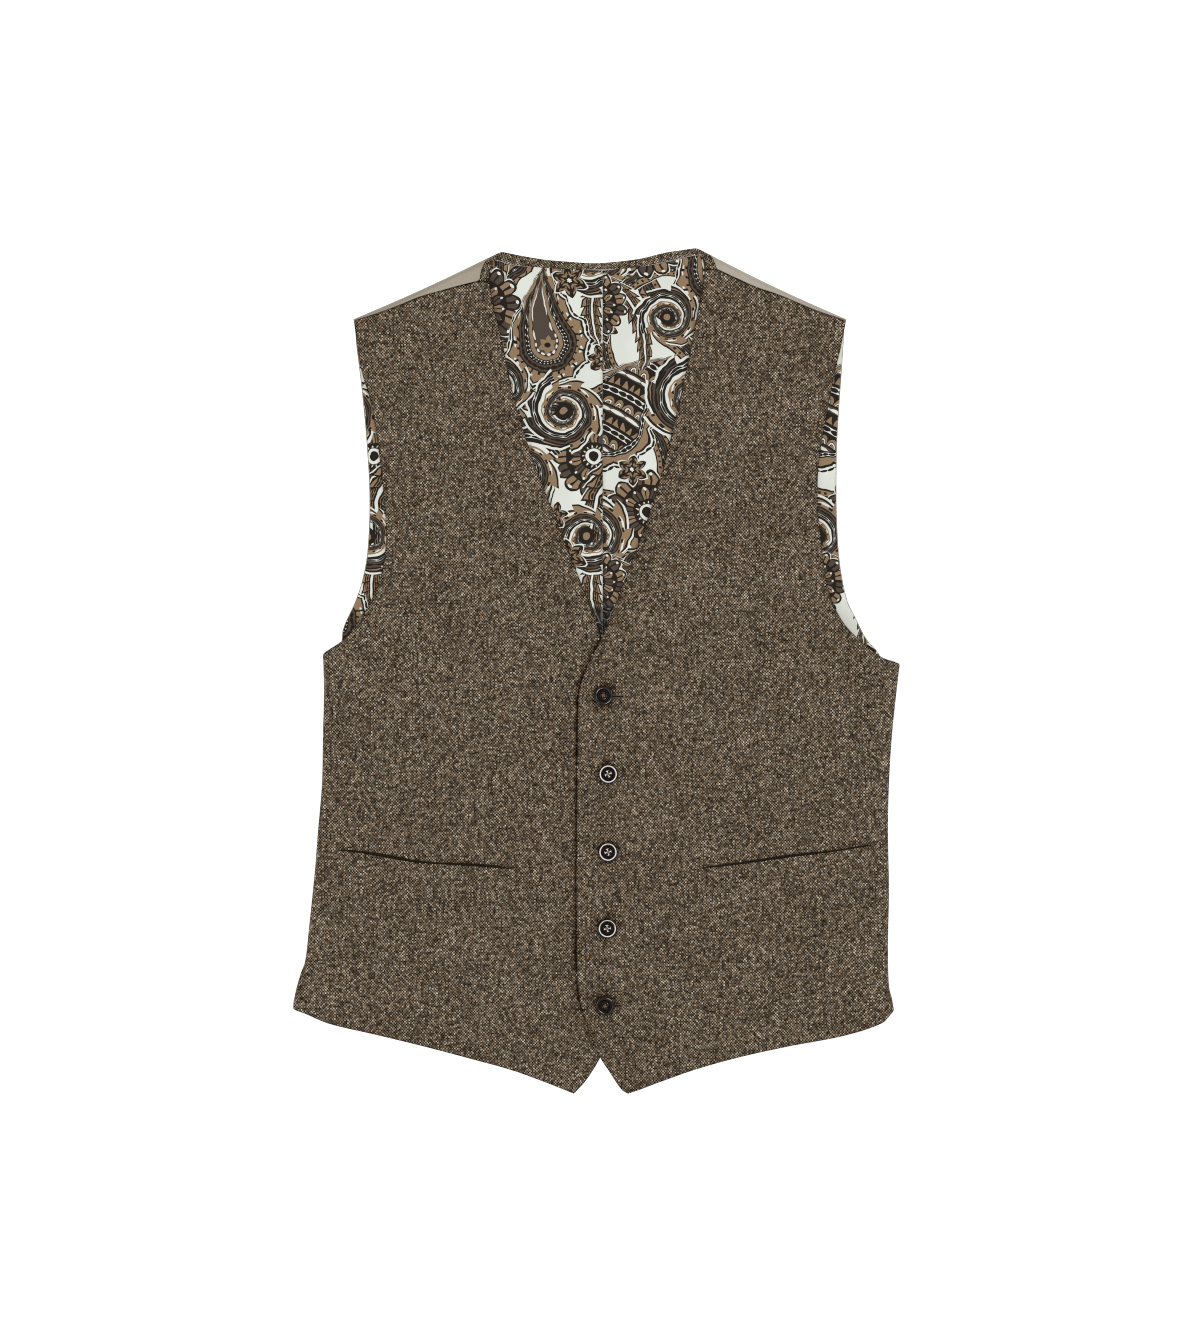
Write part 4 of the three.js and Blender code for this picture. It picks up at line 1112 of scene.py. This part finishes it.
def lining_material():
    """A print of curling teardrops, bands and sprigs on white."""
    material, tree, shader = new_material("lining", 0.6, 0.12)
    x, y = cloth_millimetres(tree)
    draws = (draw_paisley, draw_curl, draw_band, draw_rows, draw_sprig, draw_frond, draw_fan)
    drawn = {draw.__name__.removeprefix("draw_"): motif(draw) for draw in draws}
    half = (PRINT_REPEAT[0] / 2, PRINT_REPEAT[1] / 2, 1)
    negative = tuple(-part for part in half)
    tone = x * 0
    wobble = noise(tree, combine(tree, x, y), 0.09, 1.0) - 0.5
    place = combine(tree, x + wobble * 3.5, y - wobble * 3)
    for kind, px, py, size, angle, flip in PRINT:
        wrapped = vector_math(tree, "WRAP", vector_math(tree, "SUBTRACT", place, (px, py, 0)), half, negative)
        turned = tree.nodes.new("ShaderNodeVectorRotate")
        turned.rotation_type = "Z_AXIS"
        plug(tree, turned.inputs["Vector"], wrapped)
        turned.inputs["Angle"].default_value = -math.radians(angle)
        scaled = vector_math(tree, "MULTIPLY", Value(tree, turned.outputs[0]), (flip / size, 1 / size, 1))
        used = tree.nodes.new("ShaderNodeGroup")
        used.node_tree = drawn[kind]
        plug(tree, used.inputs[0], scaled)
        tone = paint(tone, Value(tree, used.outputs[0]), Value(tree, used.outputs[1]))
    soft = noise(tree, combine(tree, x, y), 0.03, 2.0)
    # Random mottling, times the painted shade of the shade attribute
    shade = soft.span(0.3, 0.7, 0.95, 1.03) * attribute(tree, "shade")
    colour = shaded(tree, steps_of_colour(tone, PRINT_COLOURS), shade)
    tree.links.new(colour.socket, shader.inputs["Base Color"])
    threads = noise(tree, combine(tree, x * 2.5, y * 0.4), 1.0, 1.0)
    bump(tree, shader, threads, 0.05)
    return material


def relief_of(side, seed):
    """Small creases and swells of a front that only the dressed model has."""

    def relief(x, y):
        keep = ease((side["inward"] * (x - side["edge"](y)[..., 0]) - SIDE_AXIS) / 16)
        clear = ease((np.abs(x - 5) - 30) / 30) + ease((y - 40) / 30)
        swell = 0.28 * (1 + ripple(x, y, seed, 90)) + 0.1 * (1 + ripple(x, y, seed + 1, 28))
        lifted = np.maximum(0.0, soft_creases(side["fine_crease"], x, y) + swell - 0.05)
        return lifted * keep * np.clip(clear, 0, 1)

    return relief


def opening_gap(side, x, y):
    """How far a place lies outside the cloth of a front, across its front edge."""
    rows = np.array(side["opening"][1])
    return side["inward"] * (x - np.interp(y, rows[:, 2], rows[:, 1]))


def edge_shade(grid, depth, reach):
    """Painted shade: darkens cloth softly toward its own edges."""
    return 1 - depth * np.exp(-((edge_distance(grid) / reach) ** 2))


def front_shade(side, flat, grid):
    """Painted shade where a front tucks under its neighbour, at its edges, round its buttons, buttonholes and
    pocket; painted highlight by the side fold.
    """
    shade = edge_shade(grid, 0.6, 0.8)
    x, y = flat[..., 0], flat[..., 1]
    # Painted shadow cast by the left front's edge on the right front
    if side["inward"] > 0:
        bare = opening_gap(LEFT, x, y)
        under = ease((44 - y) / 6) * (1 - 0.8 * ease((-262 - y) / 16))
        reach = 2.1 + 0.5 * ripple(x, y, 3, 45) + 1.3 * ease((y - 6) / 20)
        shade *= 1 - 0.95 * np.exp(-((np.maximum(0, bare) / reach) ** 2)) * under
        shade *= 1 - 0.25 * np.exp(-np.maximum(0, bare) / 6) * under
    else:
        # Painted shade round the buttons and along the buttonholes
        for _, bx, by, *_ in BUTTONS:
            away = np.hypot(x - bx + 0.8, y - by - 0.8)
            shade *= 1 - 0.8 * np.exp(-((np.maximum(0, away - 7.1) / 1.9) ** 2))
            shade *= 1 - 0.14 * np.exp(-((away / 14) ** 2))
        for start, end, hole_y in HOLES:
            away = np.hypot(x - np.clip(x, start, end), y - hole_y)
            shade *= 1 - 0.6 * np.exp(-((away / 1.5) ** 2))
        # Painted highlight along the left front's side fold, where the light falls on it
        shade *= 1 + 0.12 * np.exp(-(((x - side["edge"](y)[..., 0] + 4) / 9) ** 2))
    # Painted shade just above the pocket welt
    rows = side["welt"][1]
    above = y - table_line(side["welt"])(x)[..., 0]
    from_end = np.minimum(x - rows[0][0], rows[-1][0] - x)
    depth = 0.5 + 0.12 * ripple(x, y, 7, 50)
    shade *= 1 - depth * np.exp(-(((above - 1.2) / 1.7) ** 2)) * ease((from_end + 1) / 5)
    return shade


tweed = tweed_material()
satin = satin_material()
printed = lining_material()
horn = horn_material("horn", 0.1, 0.7)
dull_horn = horn_material("dull_horn", 0.5, 0.12)
thread = thread_material("thread", THREAD)
# Material of the painted shadow inside openings
opening_shadow = fibre_material("opening", 1.0, 0.0, 1500, 0.35, *OPENING_SHADOW)

for word, side, seed in (("right", RIGHT, 11), ("left", LEFT, 23)):
    side["edge"] = table_line(side["fold"])
    side["under"] = table_line(side["side_seam"])
    side["frame"] = Shoulder(side)
    side["relief"] = relief_of(side, seed)


def dressed_front(word, side):
    flat_of = front_patch(side)
    columns = shares_with_edges(118, 260)
    if side["inward"] > 0:
        kept = columns[(columns < LAP_SHARES[0]) | (columns > LAP_SHARES[1])]
        columns = np.sort(np.concatenate([kept, np.linspace(*LAP_SHARES, 34)]))
    u, v = np.meshgrid(columns, shares_with_edges(200, 600))
    flat = flat_of(u, v)
    grid = place_front(side, flat)
    woven = turned_grain(flat, side["grain"])
    shade = front_shade(side, flat, grid)
    front = cloth_shell(f"cloth_front_{word}", grid, woven, FRONT_WALL, tweed, shade=shade)
    size = np.ptp(flat, axis=(0, 1))
    declare(f"front_{word}", size, grid_area(grid))
    return front


def dressed_back(word, side):
    radius = SHOULDER_RADIUS["back"]
    top = [(share, *side["frame"].place(along, flat_inset(how, amount, radius)))
           for share, along, how, amount in side["seam"]]
    flat_of = back_patch(side, 0, top)
    columns = shares_with_edges(96, 230, THIN_EDGE)
    low_rows = np.linspace(0, ROLL_ROW, 90)[1:]
    high_rows = np.linspace(ROLL_ROW, 1, 34)[1:]
    edge_rows = np.array(THIN_EDGE) / 590
    u, v = np.meshgrid(columns, np.concatenate([edge_rows, low_rows, high_rows]))
    low, high = np.full(columns.shape, 0.8), np.full(columns.shape, 1.0)
    for _ in range(30):
        middle = (low + high) / 2
        before = side["frame"].inset(flat_of(columns, middle)) > SHOULDER_AXIS
        low, high = np.where(before, middle, low), np.where(before, high, middle)
    unrolled = side["frame"].inset(flat_of(columns, np.ones_like(columns))) > SHOULDER_AXIS
    start = np.where(unrolled, ROLL_ROW, low)
    past = np.maximum(0, v - ROLL_ROW) / (1 - ROLL_ROW)
    flat = flat_of(u, np.minimum(v, ROLL_ROW) * start / ROLL_ROW + past * (1 - start))
    grid = fold_over(side, flat, radius)
    back = cloth_shell(f"cloth_back_{word}", grid, flat, BACK_WALL, satin, 0.5)
    size = np.ptp(flat, axis=(0, 1))
    declare(f"back_{word}", size, grid_area(grid))
    return back


def dressed_lining(word, side):
    top = []
    for share, along, how, amount in side["seam"]:
        inset = max(amount if how == "under" else 0, SHOULDER_AXIS) + LINING_INSET
        top.append((share, *side["frame"].place(along, inset)))
    flat_of = back_patch(side, LINING_INSET, top)
    columns = shares_with_edges(86, 230, THIN_EDGE)
    rows = shares_with_edges(190, 580, THIN_EDGE)
    u, v = np.meshgrid(columns, rows)
    flat = flat_of(u, v)
    grid = np.dstack([flat, LINING_REST + lining_relief(flat[..., 0], flat[..., 1])])
    shifted = flat if side["inward"] > 0 else flat + np.array(PRINT_SHIFT)
    # Painted shadow cast by the fronts along their edges, darker cloth along the centre seam, and painted shade
    # below the tuck
    gap = np.minimum(*[opening_gap(front, flat[..., 0], flat[..., 1]) for front in (RIGHT, LEFT)])
    shown = gap > 0
    shade = 1 - shown * 0.4 * np.exp(-((gap / 1.5) ** 2))
    shade *= 1 - 0.3 * np.exp(-(((flat[..., 0] - CENTRE_SEAM) / 0.7) ** 2))
    shade *= 1 - shown * 0.84 * ease((53 - 0.08 * flat[..., 0] - flat[..., 1]) / 2)
    lining = cloth_shell(f"cloth_lining_{word}", grid, shifted, LINING_WALL, printed, 0.45, shade=shade)
    size = np.ptp(flat, axis=(0, 1))
    declare(f"lining_{word}", size, grid_area(grid))


def lining_relief(x, y):
    """Soft wrinkles inside the neck opening, and the tuck above the top button."""
    inside = np.ones_like(x)
    for side in (RIGHT, LEFT):
        rows = np.array(side["opening"][1])[7:]
        edge = np.interp(y, rows[:, 2], rows[:, 1])
        inside *= ease((side["inward"] * (edge - x) - 3) / 10)
    inside *= ease((y - 36) / 20) * ease((316 - y) / 20)
    soft = 0.5 + 0.5 * ripple(x, y, 41, 46)
    pulled = np.cos((x + 0.25 * y) * 2 * math.pi / 31) * np.exp(-((y - 120) / 70) ** 2)
    tuck = 0.75 * np.exp(-(((y - 51 - 0.08 * x) / 1.6) ** 2)) * ease((y - 42) / 4)
    return inside * (0.28 * soft + 0.14 * (1 + pulled)) + tuck * ease((12 - np.abs(x)) / 4)


def seam_line(rows):
    """A line through points in order, read by its share of their length."""
    rows = np.array(rows)
    run = np.concatenate([[0], np.cumsum(np.linalg.norm(np.diff(rows, axis=0), axis=1))])
    return through(run / run[-1], rows), run[-1]


def dressed_band():
    radius = SHOULDER_RADIUS["band"]

    def flat_rows(side, rows):
        return [side["frame"].place(row[0], flat_inset(row[1], row[2], radius)) for row in rows]

    def seam_rows(side):
        rolled = flat_rows(side, [row[1:] for row in side["seam"][side["seam_corner"]:]])
        return rolled + [np.array(row[1:]) for row in side["neck"][1]]

    def edge_rows(side):
        return flat_rows(side, side["neck_edge"]) + [np.array(row) for row in side["neck_back"]]

    seam, length = seam_line(seam_rows(RIGHT) + seam_rows(LEFT)[::-1])
    edge, _ = seam_line(edge_rows(RIGHT) + edge_rows(LEFT)[::-1])
    ends = np.array(THICK_EDGE[:4]) / length
    t = np.concatenate([ends, np.linspace(ends[-1], 1 - ends[-1], 300)[1:-1], 1 - ends[::-1]])
    steps = np.array(THICK_EDGE[:5]) / BAND_WIDTH
    shares = np.concatenate([steps, np.linspace(steps[-1], 1 - steps[-1], 14)[1:-1], 1 - steps[::-1]])
    t, share = np.meshgrid(t, BAND_START + (1 - BAND_START) * shares)
    flat = seam(t) + (edge(t) - seam(t)) * share[..., None]
    grid = np.where(flat[..., :1] < 0, fold_over(RIGHT, flat, radius), fold_over(LEFT, flat, radius))
    woven = np.stack([t * length, share * BAND_WIDTH], -1)
    band = cloth_shell("cloth_neck_band", grid, woven, BAND_WALL, tweed, 0.9)
    middle = grid[grid.shape[0] // 2]
    middle_length = np.linalg.norm(np.diff(middle, axis=0), axis=1).sum()
    widest = np.linalg.norm(np.diff(grid, axis=0), axis=2).sum(0).max()
    size = (max(10, widest), middle_length)
    declare("neck_band", size, grid_area(grid))


def surface(side, x, y):
    """Height of a front's outer face where it lies open."""
    return front_height(side, x, y) + side["relief"](x, y) + FRONT_WALL / 2


def dressed_welt(word, side):
    """A welt sewn down along its foot and ends, with its top edge standing off as the pocket's lip."""
    line = table_line(side["welt"])
    rows = side["welt"][1]
    first, last = rows[0][0], rows[-1][0]
    across = first + (last - first) * shares_with_edges(120, 140)
    up = shares_with_edges(24, WELT_HEIGHT)
    x, share = np.meshgrid(across, up)
    y = line(x)[..., 0] - WELT_HEIGHT * (1 - share)
    from_end = np.minimum(x - first, last - x)
    lip = ease(share * 1.05 - 0.05) * ease(from_end / 9 + 0.15)
    z = surface(side, x, y) + WELT_WALL / 2 + 0.02 + 0.35 * lip
    grid = np.dstack([x, y, z])
    flat = np.stack([x, y], -1)
    profile = 0.25 + 0.75 * lip
    woven = turned_grain(flat, side["grain"] + 0.02, (3.3, 1.7))
    welt = cloth_shell(f"cloth_welt_{word}", grid, woven, WELT_WALL, tweed, 0.8, profile)
    declare(f"welt_{word}", np.ptp(flat, axis=(0, 1)), grid_area(grid))

    # A dark strip just above the lip: painted shadow for the pocket's mouth
    along = np.linspace(first + 1, last - 1, 160)
    middle = line(along)[..., 0]
    slack = 0.5 + 0.5 * ripple(along, middle, 5 if word == "left" else 9, 60)
    reach = (0.9 + 2.3 * slack) * np.minimum(1, (np.minimum(along - first, last - along) + 1.5) / 14)
    steps = np.linspace(-1.0, 1, 7)
    x = np.repeat(along[None], 7, 0)
    y = middle[None] + np.where(steps[:, None] < 0, steps[:, None] * 1.0, steps[:, None] * reach[None])
    z = surface(side, x, y) + 0.16 * (1 - np.abs(steps[:, None]) ** 2) + 0.02
    ribbon(f"pocket_mouth_shadow_{word}", np.dstack([x, y, z]), opening_shadow)


def ribbon(name, grid, material):
    """An open strip of faces."""
    rows, columns = grid.shape[:2]
    at = np.arange(rows * columns).reshape(rows, columns)
    make_mesh(name, grid.reshape(-1, 3), grid_faces(at).tolist(), None, material)


def lathe(profile, segments, pits):
    """A turned body with holes sunk into its top, as (middle, radius, depth) of each."""
    profile = np.asarray(profile, float)
    run = np.concatenate([[0], np.cumsum(np.linalg.norm(np.diff(profile, axis=0), axis=1))])
    read = through(run, profile)
    fine = read(np.linspace(0, run[-1], 130))
    inner = fine[:, 0] < 3.2
    fine = np.vstack([fine[(~inner) | (np.arange(len(fine)) > 65)]])
    core = read(np.linspace(0.06, 3.1, 52))
    fine = np.vstack([core, fine])
    angle = np.linspace(0, 2 * math.pi, segments, endpoint=False)
    x = fine[:, :1] * np.cos(angle)
    y = fine[:, :1] * np.sin(angle)
    z = np.repeat(fine[:, 1:], segments, 1)
    top = (np.arange(len(fine)) < len(core) + 6)[:, None]
    for px, py, radius, depth in pits:
        away = np.hypot(x - px, y - py)
        z = np.where(top, z - depth * ease((radius + 0.1 - away) / 0.2), z)
    rings = len(fine)
    points = np.stack([x, y, z], -1).reshape(-1, 3)
    points = np.vstack([points, [0, 0, profile[0, 1]], [0, 0, profile[-1, 1]]])
    at = np.arange(rings * segments).reshape(rings, segments)
    after = np.roll(at, -1, 1)
    faces = np.stack([at[:-1].ravel(), at[1:].ravel(), after[1:].ravel(), after[:-1].ravel()], 1).tolist()
    faces += [[rings * segments, int(a), int(b)] for a, b in zip(at[0], after[0])]
    faces += [[rings * segments + 1, int(b), int(a)] for a, b in zip(at[-1], after[-1])]
    return points, faces


def tube(points, radius, sides=8):
    """Points and faces of a round strand along a line, with closed ends."""
    points = np.asarray(points, float)
    ahead = np.gradient(points, axis=0)
    ahead /= np.linalg.norm(ahead, axis=1, keepdims=True)
    across = np.cross(ahead, [0, 0, 1.0])
    across /= np.maximum(1e-6, np.linalg.norm(across, axis=1, keepdims=True))
    over = np.cross(across, ahead)
    radius = np.broadcast_to(radius, len(points))
    angle = np.linspace(0, 2 * math.pi, sides, endpoint=False)
    ring = across[:, None] * np.cos(angle)[None, :, None] + over[:, None] * np.sin(angle)[None, :, None]
    body = (points[:, None] + ring * radius[:, None, None]).reshape(-1, 3)
    at = np.arange(len(points) * sides).reshape(len(points), sides)
    after = np.roll(at, -1, 1)
    faces = np.stack([at[:-1].ravel(), after[:-1].ravel(), after[1:].ravel(), at[1:].ravel()], 1).tolist()
    faces.append([int(i) for i in at[0][::-1]])
    faces.append([int(i) for i in at[-1]])
    return body, faces


def strands(name, lines, material, place=None):
    """One piece made of many strands, each a line and its radius."""
    points, faces, count = [], [], 0
    for line, radius in lines:
        body, sides = tube(line, radius)
        points.append(body)
        faces += [[i + count for i in face] for face in sides]
        count += len(body)
    obj = make_mesh(name, np.vstack(points), faces, None, material)
    if place is not None:
        obj.matrix_world = place
    return obj


def dressed_button(name, x, y, tilt, toward, turn):
    spread, radius, depth = BUTTON_HOLES
    corners = [math.radians(45 + turn + 90 * k) for k in range(4)]
    pits = [(spread * math.cos(a), spread * math.sin(a), radius, depth) for a in corners]
    points, faces = lathe(BUTTON_PROFILE, BUTTON_SEGMENTS, pits)
    obj = make_mesh(name + "_horn", points, faces, None, horn)
    for material in (dull_horn, opening_shadow):
        obj.data.materials.append(material)
    trough, rim = BUTTON_TROUGH
    for face in obj.data.polygons:
        centre = face.center / MM
        if centre.z > 1.0 and trough < centre.xy.length < rim:
            face.material_index = 1
        # Faces inside the holes take the painted shadow of the opening material
        if centre.z > 0.2 and any(math.hypot(centre.x - px, centre.y - py) < radius for px, py, _, _ in pits):
            face.material_index = 2
    lean, heading = math.radians(tilt), math.radians(toward)
    low = BUTTON_FOOT * math.sin(lean)
    z = float(surface(LEFT, np.array([[x]]), np.array([[y]]))[0, 0]) + GAP + low
    axis = Vector((-math.sin(heading), math.cos(heading), 0))
    place = Matrix.Translation(Vector((x, y, z)) * MM) @ Matrix.Rotation(lean, 4, axis)
    obj.matrix_world = place
    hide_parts(name)
    lines = []
    for k in range(2):
        heading = corners[k]
        for offset in (-0.32, 0.0, 0.32):
            t = np.linspace(-1, 1, 15)
            px = t * spread * math.cos(heading) - offset * math.sin(heading) * (1 - 0.3 * t * t)
            py = t * spread * math.sin(heading) + offset * math.cos(heading) * (1 - 0.3 * t * t)
            pz = 2.2 + 0.42 * (1 - t**4) + 0.12 * k - 0.9 * np.maximum(0, np.abs(t) - 0.8) * 5
            lines.append((np.stack([px, py, pz], 1), 0.17))
    strands(name + "_thread", lines, thread, place)


def stitch(x, y):
    """A short thread over the edge of a buttonhole, and its radius."""
    height = surface(LEFT, x[None], y[None])[0] + np.array(STITCH_RISE)
    return np.stack([x, y, height], 1), 0.2


def buttonhole(index, start, end, y):
    """A worked hole: a dark strip painted as the shadow in its slit, with stitches along both sides."""
    middle, half = (start + end) / 2, (end - start) / 2
    t = np.linspace(-1, 1, 41)
    x = np.repeat((middle + half * t)[None], 5, 0)
    steps = np.linspace(-1, 1, 5)[:, None]
    width = 0.75 * np.sqrt(np.maximum(0.01, 1 - t**4))[None]
    yy = y + steps * width
    # Painted shadow in the slit
    z = surface(LEFT, x, yy) + 0.06
    ribbon(f"hole_slit_shadow_{index}", np.dstack([x, yy, z]), opening_shadow)
    lines = []
    for row in (-1, 1):
        for px in np.arange(start + 0.2, end, 0.55):
            lean = RANDOM.uniform(-0.08, 0.08)
            reach = RANDOM.uniform(1.25, 1.55)
            line_y = y + row * np.array([0.6, 0.85, 1.2, reach + 0.1])
            line_x = px + lean * np.array([0, 1, 2, 3])
            lines.append(stitch(line_x, line_y))
    for end_x, way in ((start, -1), (end, 1)):
        for angle in np.linspace(-70, 70, 6):
            c, s = way * math.cos(math.radians(angle)), math.sin(math.radians(angle))
            reach = np.array([0.3, 0.7, 1.1, 1.4])
            lines.append(stitch(end_x + c * reach, y + s * reach))
    strands(f"hole_stitches_{index}", lines, hole_thread)


hole_thread = thread_material("hole_thread", HOLE_THREAD)
for word, side in (("right", RIGHT), ("left", LEFT)):
    front = dressed_front(word, side)
    back = dressed_back(word, side)
    dressed_lining(word, side)
    dressed_welt(word, side)
dressed_band()
for row in BUTTONS:
    dressed_button(*row)
for index, row in enumerate(HOLES, 1):
    buttonhole(index, *row)


# Floor, light and camera
def stage_floor():
    material, _, shader = new_material("floor", 1.0, 0.0)
    shader.inputs["Base Color"].default_value = (0.8, 0.8, 0.8, 1)
    shader.inputs["Emission Color"].default_value = (1, 1, 1, 1)
    shader.inputs["Emission Strength"].default_value = FLOOR_GLOW
    mesh = bpy.data.meshes.new("floor")
    corners = [(x * 6.0, y * 6.0, -0.0004) for x, y in ((-1, -1), (1, -1), (1, 1), (-1, 1))]
    mesh.from_pydata(corners, [], [(0, 1, 2, 3)])
    mesh.materials.append(material)
    floor = bpy.data.objects.new("floor", mesh)
    bpy.context.scene.collection.objects.link(floor)


def area_light(name, place, size, watts):
    data = bpy.data.lights.new(name, "AREA")
    data.shape = "SQUARE"
    data.size = size
    data.energy = watts
    lamp = bpy.data.objects.new(name, data)
    lamp.location = place
    lamp.rotation_euler = (-Vector(place)).to_track_quat("-Z", "Y").to_euler()
    bpy.context.scene.collection.objects.link(lamp)


stage_floor()
for light in LIGHTS:
    area_light(*light)
world = bpy.data.worlds.new("studio")
world.use_nodes = True
world.node_tree.nodes["Background"].inputs["Color"].default_value = (1, 1, 1, 1)
world.node_tree.nodes["Background"].inputs["Strength"].default_value = WORLD_LIGHT
bpy.context.scene.world = world

camera_data = bpy.data.cameras.new("camera")
camera_data.lens = LENS
camera_data.sensor_fit = "VERTICAL"
camera_data.sensor_height = SENSOR
camera = bpy.data.objects.new("camera", camera_data)
camera.location = (*VIEW_MIDDLE, VIEW_HEIGHT * LENS / SENSOR + 0.006)
bpy.context.scene.collection.objects.link(camera)
bpy.context.scene.camera = camera
bpy.context.scene.view_settings.view_transform = "Standard"
bpy.context.scene.cycles.use_denoising = False
bpy.context.scene.cycles.filter_width = 1.1
